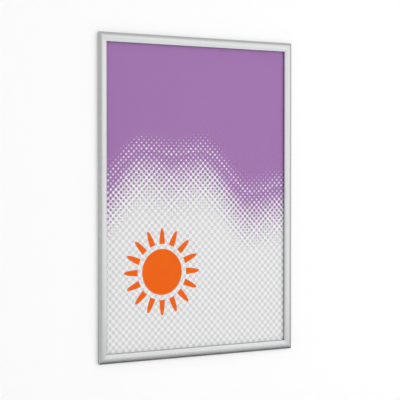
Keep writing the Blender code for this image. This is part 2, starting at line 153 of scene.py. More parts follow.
def length_size(label, millimetres, description):
    """A length, given in millimetres and kept in metres."""
    return FloatProperty(name=label, description=description, default=millimetres * MM,
                         unit="LENGTH", precision=5, min=0.0)


def share_value(label, default, description):
    """A value from nought to one."""
    return FloatProperty(name=label, description=description, default=default,
                         subtype="FACTOR", min=0.0, max=1.0)


def tint(label, default, description):
    """A colour."""
    return FloatVectorProperty(name=label, description=description, default=default,
                               subtype="COLOR", size=3, min=0.0, max=1.0)


class SNAPFRAME_PG_snap_rail(bpy.types.PropertyGroup):
    """Section of the four front rails."""
    skin: length_size("Skin", 1.2, "Wall of the curved face")
    crown_share: share_value("Crown place", 0.52, "Where the face is highest, of the rail's width")
    skirt_rise: length_size("Skirt rise", 1.1, "Lower edge of the face above the hinge axis")
    lip_radius: length_size("Lip radius", 0.8, "Rounding of the inner edge")
    lip_drop: length_size("Lip drop", 1.6, "How far the face falls from its crown to the inner edge")
    lip_wall: length_size("Lip wall", 1.0, "Wall on both sides of the gasket's groove")
    hook_height: length_size("Hook height", 0.5, "Thickness of the two hooks that hold the gasket")
    leg_gap: length_size("Leg gap", 0.3, "Gap between the hooks and the gasket's foot and bulb")
    heel_rise: length_size("Heel rise", 0.3, "Underside of the heel above the hinge axis")
    heel_reach: length_size("Heel reach", 5.4, "Tip of the heel, inward from the hinge axis")
    heel_thickness: length_size("Heel thickness", 0.9, "Thickness of the heel")
    heel_root: length_size("Heel root", 0.3, "Wall beside the heel, inward from the claw")
    claw_wall: length_size("Claw wall", 0.8, "Wall of the claw round the bead")
    claw_gap: length_size("Claw gap", 0.3, "Running gap between the claw and the bead")
    relief_length: length_size("Relief length", 12.0, "Stretch at each end without claw and heel")
    relief_step: length_size("Relief step", 0.3, "How far the relief reaches above the skirt")
    corner_radius: length_size("Corner radius", 3.5, "Rounding of the frame's outer corners")
    edge_radius: length_size("Edge radius", 0.18, "Softness of the section's hard edges")


class SNAPFRAME_PG_base_rail(bpy.types.PropertyGroup):
    """Section of the four base rails, and the springs in them."""
    web: length_size("Web", 1.2, "Thickness of the flat on the wall")
    foot_inset: length_size("Foot inset", 3.0, "Outer edge of the flat, in from the frame's edge")
    wall: length_size("Wall", 0.9, "Slanted outer wall")
    neck_width: length_size("Neck", 0.9, "Neck under the hinge bead")
    neck_length: length_size("Neck length", 1.8, "From the foot of the neck to the bead's middle")
    standoff: length_size("Standoff", 1.5, "Space between the slanted wall and the channel")
    rib: length_size("Rib", 1.0, "Walls of the channel")
    channel_width: length_size("Channel width", 7.3, "Clear width between the channel's walls")
    channel_clear: length_size("Channel depth", 2.1, "Clear depth of the channel under its lips")
    channel_lip: length_size("Channel lip", 0.8, "Reach and thickness of the channel's lips")
    edge_radius: length_size("Edge radius", 0.15, "Softness of the section's hard edges")
    hole_radius: length_size("Wall hole radius", 2.25, "Radius of the holes for the wall screws")
    hole_from_corner: length_size("Wall hole place", 120.0, "Holes, in from the frame's corner")
    hole_patch: length_size("Hole patch", 3.0, "Half width of the faces round a hole")
    spring_thickness: length_size("Spring thickness", 0.5, "Thickness of the leaf springs")
    spring_bend: length_size("Spring bend", 0.7, "Radius of the leaf springs' bend")
    spring_nose: length_size("Spring nose", 0.8, "Folded end of the leaf springs")


class SNAPFRAME_PG_gasket(bpy.types.PropertyGroup):
    """Section of the four gaskets."""
    foot_thickness: length_size("Foot thickness", 0.6, "Flat that presses on the cover")
    neck_width: length_size("Neck width", 1.2, "Width in the groove's throat")
    bulb_width: length_size("Bulb width", 2.0, "Width above the hooks")
    bulb_height: length_size("Bulb height", 1.0, "Height above the hooks")
    edge_radius: length_size("Edge radius", 0.28, "Softness of the rubber's edges")


class SNAPFRAME_PG_finish(bpy.types.PropertyGroup):
    """Colours and shine of the materials."""
    satin: tint("Satin aluminium", (0.525, 0.53, 0.535), "Anodised front rails")
    satin_roughness: share_value("Satin roughness", 0.25, "Shine of the front rails")
    satin_variation: share_value("Satin variation", 0.055, "How far the front rails' tone varies")
    sawn: tint("Sawn aluminium", (0.8, 0.8, 0.79), "Bare metal on the sawn mitres")
    mill: tint("Plain aluminium", (0.56, 0.565, 0.57), "Base rails as they leave the press")
    mill_roughness: share_value("Plain roughness", 0.42, "Shine of the base rails")
    mill_variation: share_value("Plain variation", 0.05, "How far the base rails' tone varies")
    rubber: tint("Rubber", (0.07, 0.072, 0.075), "Gaskets")
    spring: tint("Spring steel", (0.36, 0.37, 0.4), "Leaf springs")
    zinc: tint("Zinc", (0.55, 0.57, 0.59), "Corner brackets and grub screws")
    panel: tint("Panel", (0.74, 0.75, 0.74), "Back panel")
    clear: tint("Clear sheet", (0.05, 0.055, 0.06), "Front cover")
    clear_alpha: share_value("Clear sheet alpha", 0.03, "How much of the cover shows")


class SNAPFRAME_PG_print(bpy.types.PropertyGroup):
    """The printed sheet's design."""
    field: tint("Field", (0.386, 0.192, 0.461), "Large field and its dots")
    accent: tint("Accent", (0.93, 0.135, 0.001), "Sun motif")
    paper: tint("Paper", (0.925, 0.925, 0.925), "Light cells")
    cell: tint("Cell", (0.72, 0.72, 0.725), "Grey cells")
    cell_size: length_size("Cell size", 10.0, "Side of a cell")
    dot_pitch: length_size("Dot pitch", 11.0, "Distance between halftone dots")
    dot_fade: length_size("Dot fade", 190.0, "How far the dots run out below the wave")
    wave_level: length_size("Wave level", 70.0, "Height of the wave above the sheet's middle")
    wave_height: length_size("Wave height", 62.0, "Height of the long wave")
    ripple_height: length_size("Ripple height", 20.0, "Height of the short wave")
    sun_radius: length_size("Sun radius", 62.0, "Radius of the sun's disc")
    ray_reach: length_size("Ray reach", 118.0, "Where the sun's rays end")


class SNAPFRAME_PG_studio(bpy.types.PropertyGroup):
    """Wall, floor and light."""
    wall: tint("Wall", (0.95, 0.95, 0.95), "Wall and floor")
    sky_level: share_value("Surroundings", 0.86, "Level of the light from all round")
    floor_drop: length_size("Floor drop", 620.0, "Floor, down from the frame's lower edge")


GROUPS = (
    SNAPFRAME_PG_snap_rail, SNAPFRAME_PG_base_rail, SNAPFRAME_PG_gasket, SNAPFRAME_PG_finish,
    SNAPFRAME_PG_print, SNAPFRAME_PG_studio,
)


# Outlines

def arc(centre, radius, start_deg, end_deg, steps):
    """Points on a circle in even steps, counted from +u towards +w."""
    turns = np.radians(np.linspace(start_deg, end_deg, steps + 1))
    return np.column_stack([centre[0] + radius * np.cos(turns), centre[1] + radius * np.sin(turns)])


def softened(points, radius, steps=4, least_turn_deg=20.0, side_share=0.45):
    """An open outline with its hard corners rounded.

    A corner that turns by more than the least turn becomes a quadratic curve with the corner as
    its control point. The curve's ends lie as far from the corner as those of a tangent arc of
    the radius, and at most at the given share of the side that they lie on.
    """
    corner = points[1:-1]
    before = corner - points[:-2]
    after = points[2:] - corner
    before_size = np.linalg.norm(before, axis=1)
    after_size = np.linalg.norm(after, axis=1)
    before = before / before_size[:, None]
    after = after / after_size[:, None]
    turn = np.arccos(np.clip((before * after).sum(1), -1.0, 1.0))
    hard = turn > math.radians(least_turn_deg)
    longest = side_share * np.minimum(before_size, after_size)
    reach = np.minimum(radius * np.tan(turn / 2), longest)
    start = corner - before * reach[:, None]
    end = corner + after * reach[:, None]
    share = np.linspace(0.0, 1.0, steps + 1)[None, :, None]
    curve = (start[:, None] * (1 - share) ** 2 + corner[:, None] * 2 * share * (1 - share)
             + end[:, None] * share ** 2)
    curve[~hard] = corner[~hard][:, None]
    kept = hard[:, None] | (np.arange(steps + 1) == 0)[None, :]
    return np.vstack([points[:1], curve[kept], points[-1:]])


def ribbon(path, thickness):
    """Outline of a strip of even thickness: the path moved both ways along its own normal."""
    along = np.gradient(path, axis=0)
    along /= np.linalg.norm(along, axis=1)[:, None]
    aside = np.column_stack([-along[:, 1], along[:, 0]]) * thickness / 2
    return np.vstack([path + aside, (path - aside)[::-1]])


class SnapSection:
    """The front rail's section.

    Its face is a quarter ellipse from the skirt to the crown and a parabola from the crown down
    to the lip. The part above the relief runs the whole length, and the part below it, with heel
    and claw, stops short of the ends.
    """

    def __init__(self, sizes, gasket):
        self.sizes = sizes
        self.crown_u = RAIL_WIDTH * sizes.crown_share
        self.skirt_w = HINGE_W + sizes.skirt_rise
        self.face_rise = FRAME_DEPTH - self.skirt_w
        self.relief_w = self.skirt_w + sizes.relief_step
        self.heel_tip_u = HINGE_U + sizes.heel_reach
        self.heel_root_u = HINGE_U + BEAD_RADIUS + sizes.claw_gap + sizes.claw_wall + sizes.heel_root
        self.leg_w = GASKET_W + gasket.foot_thickness + sizes.leg_gap
        self.groove_u = (GASKET_OUTER_U + GASKET_INNER_U) / 2
        self.half_groove = gasket.bulb_width / 2 + sizes.leg_gap
        self.half_throat = gasket.neck_width / 2 + sizes.leg_gap

    def crown(self, turns):
        """Points on the outer quarter ellipse, by their turn from the skirt."""
        return np.column_stack([self.crown_u * (1 - np.cos(turns)),
                                self.skirt_w + self.face_rise * np.sin(turns)])

    def face_w(self, u):
        """Height of the face over a place across the rail."""
        u = np.asarray(u, float)
        outer = np.clip((self.crown_u - u) / self.crown_u, 0.0, 1.0)
        inner = np.clip((u - self.crown_u) / (RAIL_WIDTH - self.crown_u), 0.0, 1.0)
        return (self.skirt_w + self.face_rise * np.sqrt(1 - outer ** 2)
                - self.sizes.lip_drop * inner ** 2)

    def ceiling(self, start_u, end_u, count):
        """Points on the underside of the face, from one place across the rail to another."""
        u = np.linspace(start_u, end_u, count)
        return np.column_stack([u, self.face_w(u) - self.sizes.skin])

    def end_inset(self, u):
        """How far a rail ends before the frame's corner: on the mitre, or on the corner's arc."""
        radius = self.sizes.corner_radius
        past_centre = np.clip(radius - u, 0, None)
        round_off = radius - np.sqrt(np.clip(radius ** 2 - past_centre ** 2, 0, None))
        return np.maximum(u + MITRE_SETBACK, round_off)

    def arc_end_u(self):
        """Where the corner's arc meets the mitre: the smaller root of their quadratic."""
        radius = self.sizes.corner_radius
        half_sum = (2 * radius - MITRE_SETBACK) / 2
        return half_sum - math.sqrt(half_sum ** 2 - (radius - MITRE_SETBACK) ** 2 / 2)

    def upper(self):
        """From the relief over the crown, the lip, the groove and the ceiling to the heel's root."""
        sizes = self.sizes
        relief_turn = math.asin(sizes.relief_step / self.face_rise)
        arc_end_turn = math.acos(1 - self.arc_end_u() / self.crown_u)
        turns = np.union1d(np.linspace(relief_turn, math.pi / 2, CROWN_POINTS), arc_end_turn)
        lean = math.atan(2 * sizes.lip_drop / (RAIL_WIDTH - self.crown_u))
        slope_end_u = RAIL_WIDTH - sizes.lip_radius * (1 - math.sin(lean))
        slope_u = np.linspace(self.crown_u, slope_end_u, SLOPE_POINTS)[1:-1]
        lip_w = float(self.face_w(slope_end_u)) - sizes.lip_radius * math.cos(lean)
        lip = arc((RAIL_WIDTH - sizes.lip_radius, lip_w), sizes.lip_radius,
                  90.0 - math.degrees(lean), 0.0, LIP_STEPS)
        hook_w = self.leg_w + sizes.hook_height
        inner_u = self.groove_u + self.half_groove
        outer_u = self.groove_u - self.half_groove
        leg_u = outer_u - sizes.lip_wall
        groove = np.array([
            (RAIL_WIDTH, self.leg_w),
            (self.groove_u + self.half_throat, self.leg_w),
            (self.groove_u + self.half_throat, hook_w),
            (inner_u, hook_w),
            (inner_u, float(self.face_w(inner_u)) - sizes.skin),
            (outer_u, float(self.face_w(outer_u)) - sizes.skin),
            (outer_u, hook_w),
            (self.groove_u - self.half_throat, hook_w),
            (self.groove_u - self.half_throat, self.leg_w),
            (leg_u, self.leg_w),
        ])
        outline = np.vstack([
            self.crown(turns),
            np.column_stack([slope_u, self.face_w(slope_u)]),
            lip,
            groove,
            self.ceiling(leg_u, self.crown_u, INNER_CEILING_POINTS),
            self.ceiling(self.crown_u, self.heel_root_u, OUTER_CEILING_POINTS)[1:],
            [(self.heel_root_u, self.relief_w)],
        ])
        return softened(outline, sizes.edge_radius)

    def lower(self):
        """From the heel's root round the heel and the claw to the skirt, up to the relief."""
        sizes = self.sizes
        hinge = (HINGE_U, HINGE_W)
        heel_w = HINGE_W + sizes.heel_rise
        claw = BEAD_RADIUS + sizes.claw_gap
        outer = claw + sizes.claw_wall
        heel_deg = math.degrees(math.asin(sizes.heel_rise / outer))
        skirt_deg = 180.0 - math.degrees(math.asin(sizes.skirt_rise / claw))
        heel = np.array([
            (self.heel_root_u, self.relief_w),
            (self.heel_root_u, heel_w + sizes.heel_thickness),
            (self.heel_tip_u, heel_w + sizes.heel_thickness),
            (self.heel_tip_u, heel_w),
        ])
        relief_turn = math.asin(sizes.relief_step / self.face_rise)
        outline = np.vstack([
            heel,
            arc(hinge, outer, heel_deg, CLAW_END_DEG, HEEL_STEPS),
            arc(hinge, claw, CLAW_END_DEG, skirt_deg, CLAW_STEPS),
            self.crown(np.linspace(0.0, relief_turn, RELIEF_POINTS)),
        ])
        return softened(outline, sizes.edge_radius)


# Meshes

def grid_quads(shape):
    """Four-sided faces over a grid of points, by the points' numbers."""
    index = np.arange(shape[0] * shape[1]).reshape(shape)
    quads = np.stack([index[:-1, :-1], index[:-1, 1:], index[1:, 1:], index[1:, :-1]], axis=-1)
    return quads.reshape(-1, 4)


def carried(outline, stations, sawn=PRESSED):
    """Surface of an outline carried along a side: each row is the outline at one set of places.

    The row gives each point its place along the side. The map runs along the side in one
    direction and round the outline, by its length so far, in the other. A surface is a tuple of
    its points, its faces, its map and what the mask holds for it.
    """
    rows = np.asarray(stations, float)
    u = np.broadcast_to(outline[:, 0], rows.shape)
    w = np.broadcast_to(outline[:, 1], rows.shape)
    places = np.stack([rows, -w, -u], axis=-1).reshape(-1, 3)
    steps = np.linalg.norm(np.diff(outline, axis=0), axis=1)
    around = np.broadcast_to(np.concatenate([[0.0], np.cumsum(steps)]), rows.shape)
    chart = np.stack([rows, around], axis=-1).reshape(-1, 2)
    return places, grid_quads(rows.shape).tolist(), chart, sawn


def end_face(outline, stations):
    """One flat sawn face over a closed outline, each point at its own place along the side."""
    places = np.column_stack([stations, -outline[:, 1], -outline[:, 0]])
    return places, [list(range(len(outline)))], outline, SAWN


def ringed(outline):
    """The outline with its first point again at its end, so that a carried surface closes."""
    return np.vstack([outline, outline[:1]])


def closed_bar(outline, stations):
    """A closed outline carried along a side, and a face over each of its two ends."""
    rows = [np.append(row, row[0]) for row in stations]
    ends = [end_face(outline, row) for row in (stations[0], stations[-1])]
    return [carried(ringed(outline), rows)] + ends


def turned(places, turns, half_across):
    """Side drawings put in place: out to the side's edge, then round Y by quarter turns."""
    cosine = (1, 0, -1, 0)[turns]
    sine = (0, 1, 0, -1)[turns]
    x = places[:, 0]
    z = places[:, 2] + half_across
    return np.column_stack([x * cosine + z * sine, places[:, 1], z * cosine - x * sine])


def make_mesh(name, surfaces):
    """Joins surfaces into one mesh: closed seams, outward faces, hard edges kept sharp."""
    places = np.vstack([surface[0] for surface in surfaces])
    chart = np.vstack([surface[2] for surface in surfaces])
    starts = np.cumsum([0] + [len(surface[0]) for surface in surfaces[:-1]])
    faces = [[int(start) + corner for corner in face]
             for start, surface in zip(starts, surfaces) for face in surface[1]]
    sawn = np.concatenate([np.full(len(surface[1]), surface[3], np.float32) for surface in surfaces])
    mesh = bpy.data.meshes.new(name)
    mesh.from_pydata(places.tolist(), [], faces)
    corners = np.empty(len(mesh.loops), np.int32)
    mesh.loops.foreach_get("vertex_index", corners)
    grain_map = mesh.uv_layers.new(name=GRAIN_MAP)
    grain_map.data.foreach_set("uv", chart[corners].astype(np.float32).ravel())
    mask = mesh.attributes.new(SAWN_MASK, "FLOAT", "FACE")
    mask.data.foreach_set("value", sawn)
    shape = bmesh.new()
    shape.from_mesh(mesh)
    bmesh.ops.remove_doubles(shape, verts=shape.verts, dist=SEAM_REACH)
    bmesh.ops.recalc_face_normals(shape, faces=shape.faces)
    shape.to_mesh(mesh)
    shape.free()
    mesh.shade_smooth()
    mesh.set_sharp_from_angle(angle=math.radians(SHARP_DEG))
    return mesh


def add_piece(name, surfaces, material, body, node):
    """Makes a piece of surfaces with a finish, and says what it rides on and stands for."""
    piece = bpy.data.objects.new(name, make_mesh(name, surfaces))
    bpy.context.scene.collection.objects.link(piece)
    piece.data.materials.append(material)
    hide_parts(node)
    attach(piece, body)


def add_side_piece(name, surfaces, turns, material, body, node):
    """Adds a side's piece, whose surfaces were drawn at the top, at its own side."""
    half_across = SIDE_SIZES[turns][1]
    placed = [(turned(places, turns, half_across), *rest) for places, *rest in surfaces]
    add_piece(name, placed, material, body, node)


def snap_rail_surfaces(sizes, gasket, half_length):
    """All of a front rail's surfaces: its two sweeps, the relief's flats and steps, and its ends."""
    section = SnapSection(sizes, gasket)
    upper = section.upper()
    lower = section.lower()
    arc_end_u = section.arc_end_u()
    arc_end = section.crown(np.array([math.acos(1 - arc_end_u / section.crown_u)]))[0]
    last = int(np.argmin(np.abs(upper - arc_end).sum(1)))
    end = half_length - section.end_inset(upper[:, 0])
    step = half_length - sizes.relief_length - np.clip(upper[:, 0] - section.heel_tip_u, 0, None)
    surfaces = [carried(upper, [-end, -step, step, end])]
    lower_step = np.full(len(lower), half_length - sizes.relief_length)
    surfaces.append(carried(lower, [-lower_step, lower_step]))
    rim_u = np.linspace(upper[0, 0], arc_end_u, CORNER_POINTS)
    rim = np.column_stack([rim_u, np.full(CORNER_POINTS, section.relief_w)])
    flat = np.vstack([rim, upper[-1:]])
    flat_end = half_length - section.end_inset(flat[:, 0])
    flat_step = np.full(len(flat), half_length - sizes.relief_length)
    step_outline = np.vstack([lower, flat[1:-1]])
    share = np.linspace(0.0, 1.0, CORNER_POINTS)[None, :]
    round_u = upper[:last + 1, :1] * (1 - share) + arc_end_u * share
    round_w = np.broadcast_to(upper[:last + 1, 1:], round_u.shape)
    round_x = half_length - section.end_inset(round_u)
    quads = grid_quads(round_u.shape)
    mitre = np.vstack([upper[last:], np.column_stack([np.full(last, arc_end_u), upper[:last, 1]])])
    mitre_end = half_length - section.end_inset(mitre[:, 0])
    for sign in (-1, 1):
        surfaces.append(carried(flat, [sign * flat_step, sign * flat_end], SAWN))
        surfaces.append(end_face(step_outline, np.full(len(step_outline), sign * lower_step[0])))
        surfaces.append(end_face(mitre, sign * mitre_end))
        round_places = np.stack([sign * round_x, -round_w, -round_u], axis=-1).reshape(-1, 3)
        chart = np.stack([round_u, round_w], axis=-1).reshape(-1, 2)
        surfaces.append((round_places, quads.tolist(), chart, PRESSED))
    return surfaces


def gasket_outline(sizes):
    """Foot that meets the cover, neck through the throat and bulb above the hooks, from its middle."""
    half_foot = (GASKET_INNER_U - GASKET_OUTER_U) / 2
    middle_u = (GASKET_INNER_U + GASKET_OUTER_U) / 2
    half_neck = sizes.neck_width / 2
    half_bulb = sizes.bulb_width / 2
    foot_w = GASKET_W + sizes.foot_thickness
    bulb_w = BULB_TOP_W - sizes.bulb_height
    right = np.array([
        (0.0, GASKET_W), (half_foot, GASKET_W), (half_foot, foot_w), (half_neck, foot_w),
        (half_neck, bulb_w), (half_bulb, bulb_w), (half_bulb, BULB_TOP_W), (0.0, BULB_TOP_W),
    ])
    soft = softened(right, sizes.edge_radius, steps=5)
    left = soft[::-1][1:-1] * (-1, 1)
    return np.vstack([soft, left]) + (middle_u, 0.0)


def base_rail_outline(sizes):
    """Flat web, slanted outer wall with the hinge bead, and the lipped channel."""
    hinge = (HINGE_U, HINGE_W)
    outer_u = sizes.foot_inset + sizes.wall + sizes.standoff
    start_u = outer_u + sizes.rib
    end_u = start_u + sizes.channel_width
    inner_u = end_u + sizes.rib
    middle_u = (start_u + end_u) / 2
    lip_w = sizes.web + sizes.channel_clear
    top_w = lip_w + sizes.channel_lip
    half_neck = sizes.neck_width / 2
    neck_deg = math.degrees(math.asin(half_neck / BEAD_RADIUS))
    neck_w = HINGE_W - sizes.neck_length
    channel = np.array([
        (middle_u + sizes.hole_patch, 0.0),
        (SHELF_U, 0.0),
        (SHELF_U, sizes.web),
        (inner_u, sizes.web),
        (inner_u, top_w),
        (end_u - sizes.channel_lip, top_w),
        (end_u - sizes.channel_lip, lip_w),
        (end_u, lip_w),
        (end_u, sizes.web),
        (middle_u + sizes.hole_patch, sizes.web),
        (middle_u - sizes.hole_patch, sizes.web),
        (start_u, sizes.web),
        (start_u, lip_w),
        (start_u + sizes.channel_lip, lip_w),
        (start_u + sizes.channel_lip, top_w),
        (outer_u, top_w),
        (outer_u, sizes.web),
        (sizes.foot_inset + sizes.wall, sizes.web),
        (HINGE_U + half_neck, neck_w),
    ])
    foot = np.array([
        (HINGE_U - half_neck, neck_w),
        (sizes.foot_inset, sizes.web),
        (sizes.foot_inset, 0.0),
        (middle_u - sizes.hole_patch, 0.0),
    ])
    bead = arc(hinge, BEAD_RADIUS, neck_deg - 90.0, 270.0 - neck_deg, BEAD_STEPS)
    return softened(np.vstack([channel, bead, foot]), sizes.edge_radius), middle_u


def holed_square(middle_x, middle_u, w, radius, half_size):
    """A square face with a round hole: fans from its corners to the rim, and one triangle a side."""
    count = HOLE_SEGMENTS
    turns = np.radians(np.arange(count) * (360.0 / count))
    rim = np.column_stack([middle_x + radius * np.cos(turns), np.full(count, -w),
                           -middle_u - radius * np.sin(turns)])
    square = np.column_stack([middle_x + half_size * np.array([1, -1, -1, 1]), np.full(4, -w),
                              -middle_u - half_size * np.array([1, 1, -1, -1])])
    places = np.vstack([rim, square])
    segment = np.arange(count)
    side = np.arange(4)
    quarter = count // 4
    fans = np.column_stack([segment, (segment + 1) % count, count + segment // quarter])
    sides = np.column_stack([count + side, (side + 1) * quarter % count, count + (side + 1) % 4])
    return places, np.vstack([fans, sides]).tolist(), places[:, [0, 2]], PRESSED


def hole_wall(middle_x, middle_u, web, radius):
    """The round wall of a wall hole, from the back of the web to its front."""
    count = HOLE_SEGMENTS + 1
    turns = np.radians(np.arange(count) * (360.0 / HOLE_SEGMENTS))
    x = middle_x + radius * np.cos(turns)
    z = -middle_u - radius * np.sin(turns)
    places = np.vstack([np.column_stack([x, np.full(count, -w), z]) for w in (0.0, web)])
    chart = np.column_stack([np.tile(turns * radius, 2), np.repeat([0.0, web], count)])
    return places, grid_quads((2, count)).tolist(), chart, SAWN


def mitred_end(outline, half_length):
    """Where each point of an outline ends along the side, on the mitre and back by its gap."""
    return half_length - outline[:, 0] - MITRE_SETBACK


def base_rail_surfaces(sizes, half_length, has_wall_holes):
    """A base rail's sweep, its two mitres and, on the long rails, two holes through the channel."""
    outline, middle_u = base_rail_outline(sizes)
    end = mitred_end(outline, half_length)
    if not has_wall_holes:
        return closed_bar(outline, [-end, end])
    hole_x = half_length - sizes.hole_from_corner
    patch = sizes.hole_patch
    cuts = [sign * hole_x + side * patch for sign in (-1, 1) for side in (-1, 1)]
    stations = [-end] + [np.full(len(outline), cut) for cut in cuts] + [end]
    (places, quads, chart, sawn), *surfaces = closed_bar(outline, stations)
    # The faces at the holes' places, on the channel's floor and on the back, are left out
    floor_corner = (middle_u + patch, sizes.web)
    floor = int(np.argmin(np.hypot(*(outline - floor_corner).T)))
    back = len(outline) - 1
    opened = {span * len(outline) + column for span in (1, 3) for column in (floor, back)}
    kept = [quad for number, quad in enumerate(quads) if number not in opened]
    surfaces.append((places, kept, chart, sawn))
    for sign in (-1, 1):
        for w in (0.0, sizes.web):
            surfaces.append(holed_square(sign * hole_x, middle_u, w, sizes.hole_radius, patch))
        surfaces.append(hole_wall(sign * hole_x, middle_u, sizes.web, sizes.hole_radius))
    return surfaces


def spring_outline(sizes, heel_tip_u):
    """A leaf spring seen from its end: foot, bend, leaning arm and a nose folded back, as one ribbon."""
    half = sizes.spring_thickness / 2
    foot_w = SPRING_FOOT_W + half
    start_u = sizes.foot_inset + sizes.wall + sizes.standoff + sizes.rib
    bend_u = (start_u + sizes.channel_width - sizes.channel_lip
              - SPRING_GAP - half - sizes.spring_bend)
    bend = np.array([bend_u, foot_w + sizes.spring_bend])
    nose = np.array([heel_tip_u, SPRING_TOP_W - half])
    reach = nose - bend
    distance = math.hypot(*reach)
    lean = math.degrees(math.atan2(reach[1], reach[0]) - math.acos(sizes.spring_bend / distance))
    path = np.vstack([
        [(SPRING_START_U, foot_w)],
        arc(bend, sizes.spring_bend, -90.0, lean, BEND_STEPS),
        [nose, (nose[0] - sizes.spring_nose, nose[1])],
    ])
    strip = ribbon(softened(path, sizes.spring_thickness, steps=8), sizes.spring_thickness)
    return softened(ringed(strip), SPRING_EDGE_RADIUS)[:-1]


def rounded_plate(half_width, half_height, rear_w, front_w, corner_radius, edge_radius):
    """A flat plate: a rounded rectangle carried from rear to front, drawn in a little at both edges.

    A point on the rim is its corner's centre plus the radius in the direction of the turn, and
    each ring is that outline pulled in by a quarter circle of the edge radius.
    """
    count = PLATE_QUADRANT_POINTS
    step_deg = 90.0 / count
    turn = np.radians(np.arange(4 * count) * step_deg + step_deg / 2)
    quadrant = np.repeat(np.arange(4), count)
    centre_x = (half_width - corner_radius) * np.array([1, -1, -1, 1])[quadrant]
    centre_z = (half_height - corner_radius) * np.array([1, 1, -1, -1])[quadrant]
    bends = np.radians(np.linspace(0.0, 90.0, PLATE_EDGE_POINTS))
    pulls = np.concatenate([edge_radius * (1 - np.sin(bends)), edge_radius * (1 - np.cos(bends))])
    depths = np.concatenate([rear_w + edge_radius * (1 - np.cos(bends)),
                             front_w - edge_radius * (1 - np.sin(bends))])
    radius = corner_radius - pulls[:, None]
    x = centre_x + radius * np.cos(turn)
    z = centre_z + radius * np.sin(turn)
    y = np.broadcast_to(-depths[:, None], x.shape)
    places = np.stack([x, y, z], axis=-1).reshape(-1, 3)
    index = np.arange(x.size).reshape(x.shape)
    following = np.roll(index, -1, axis=1)
    quads = np.stack([index[:-1], following[:-1], following[1:], index[1:]], axis=-1).reshape(-1, 4)
    faces = quads.tolist() + [index[0].tolist(), index[-1].tolist()]
    return places, faces, places[:, [0, 2]], PRESSED


def rippled_sheet(half_width, half_height, rear_w, front_w, ripple):
    """A thin sheet with a very low ripple that dies out at its edges, where the rails hold it.

    Its rise is a product of two slow sine waves, times how far a point is from the edges in each
    direction, from nought to one.
    """
    s, t = np.meshgrid(*(np.linspace(-1.0, 1.0, points) for points in SHEET_GRID))
    rise = ripple * (1 - s ** 2) * (1 - t ** 2)
    for across, up in SHEET_WAVES:
        rise = rise * np.sin(across * s + up * t)
    index = np.arange(s.size).reshape(s.shape)
    quads = grid_quads(s.shape)
    rim = np.concatenate([index[0, :-1], index[:-1, -1], index[-1, :0:-1], index[:0:-1, 0]])
    following = np.roll(rim, -1)
    count = s.size
    places = np.vstack([
        np.column_stack([(s * half_width).ravel(), (-w - rise).ravel(), (t * half_height).ravel()])
        for w in (rear_w, front_w)
    ])
    faces = np.vstack([
        quads, quads + count,
        np.column_stack([rim, following, following + count, rim + count]),
    ])
    return places, faces.tolist(), places[:, [0, 2]], PRESSED


def sheet_sizes(node):
    """A flat node's half width, half height, and its back's and front's distance from the wall."""
    low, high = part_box(node)
    return high[0], high[2], -high[1], -low[1]


# Shader building

# Numbers of the Mix node's sockets for colours
MIX_COLOURS = (6, 7)
MIX_RESULT = 2


def feed(tree, socket, value):
    """Gives an input a plain value or another node's output."""
    if isinstance(value, bpy.types.NodeSocket):
        tree.links.new(value, socket)
    else:
        socket.default_value = value


def add_node(tree, kind, inputs=None, **settings):
    """Adds a shader node with its inputs and its settings."""
    node = tree.nodes.new(kind)
    for name, value in settings.items():
        setattr(node, name, value)
    for name, value in (inputs or {}).items():
        feed(tree, node.inputs[name], value)
    return node


def calc(tree, operation, *values):
    """A Math node's result."""
    return add_node(tree, "ShaderNodeMath", dict(enumerate(values)), operation=operation).outputs[0]


def rising(tree, start, *gains):
    """A start value plus each mask times its gain."""
    total = start
    for mask, gain in gains:
        total = calc(tree, "MULTIPLY_ADD", mask, gain, total)
    return total


def spread(tree, value, low, high, to_low=0.0, to_high=1.0):
    """The value, moved from one range to another and held inside it."""
    node = add_node(tree, "ShaderNodeMapRange", {
        "Value": value, "From Min": low, "From Max": high, "To Min": to_low, "To Max": to_high})
    return node.outputs["Result"]


def combined(tree, x, y, z):
    """A vector from its three parts."""
    return add_node(tree, "ShaderNodeCombineXYZ", {0: x, 1: y, 2: z}).outputs[0]


def separated(tree, vector):
    """A vector's three parts."""
    return tuple(add_node(tree, "ShaderNodeSeparateXYZ", {0: vector}).outputs)


def noise(tree, vector, scale, detail, roughness=0.5, distortion=0.0, dimensions="3D"):
    """A Noise Texture node's value."""
    node = add_node(tree, "ShaderNodeTexNoise", {
        "Vector": vector, "Scale": scale, "Detail": detail, "Roughness": roughness,
        "Distortion": distortion}, noise_dimensions=dimensions)
    return node.outputs[0]


def blend_colours(tree, share, first, second):
    """A mix of two colours. Each is a plain colour or another node's output."""
    node = add_node(tree, "ShaderNodeMix", data_type="RGBA")
    feed(tree, node.inputs[0], share)
    for number, colour in zip(MIX_COLOURS, (first, second)):
        is_output = isinstance(colour, bpy.types.NodeSocket)
        feed(tree, node.inputs[number], colour if is_output else (*colour, 1.0))
    return node.outputs[MIX_RESULT]


def new_group(name, inputs, outputs):
    """An empty node group with float inputs (name: default), a Vector input and named outputs."""
    tree = bpy.data.node_groups.new(name, "ShaderNodeTree")
    tree.interface.new_socket("Vector", in_out="INPUT", socket_type="NodeSocketVector")
    for label, default in inputs.items():
        socket = tree.interface.new_socket(label, in_out="INPUT", socket_type="NodeSocketFloat")
        socket.default_value = default
    for label in outputs:
        tree.interface.new_socket(label, in_out="OUTPUT", socket_type="NodeSocketFloat")
    given = tree.nodes.new("NodeGroupInput").outputs
    result = tree.nodes.new("NodeGroupOutput").inputs
    return tree, given, result


# Fine lines and broad bands of the grain: how far a band reaches beside a line, along and across,
# and the ranges of the noise that the masks take
BAND_STRETCH = 0.3
BAND_LINES = 0.16
LINE_RANGE = (0.3, 0.7)
BAND_RANGE = (0.32, 0.68)


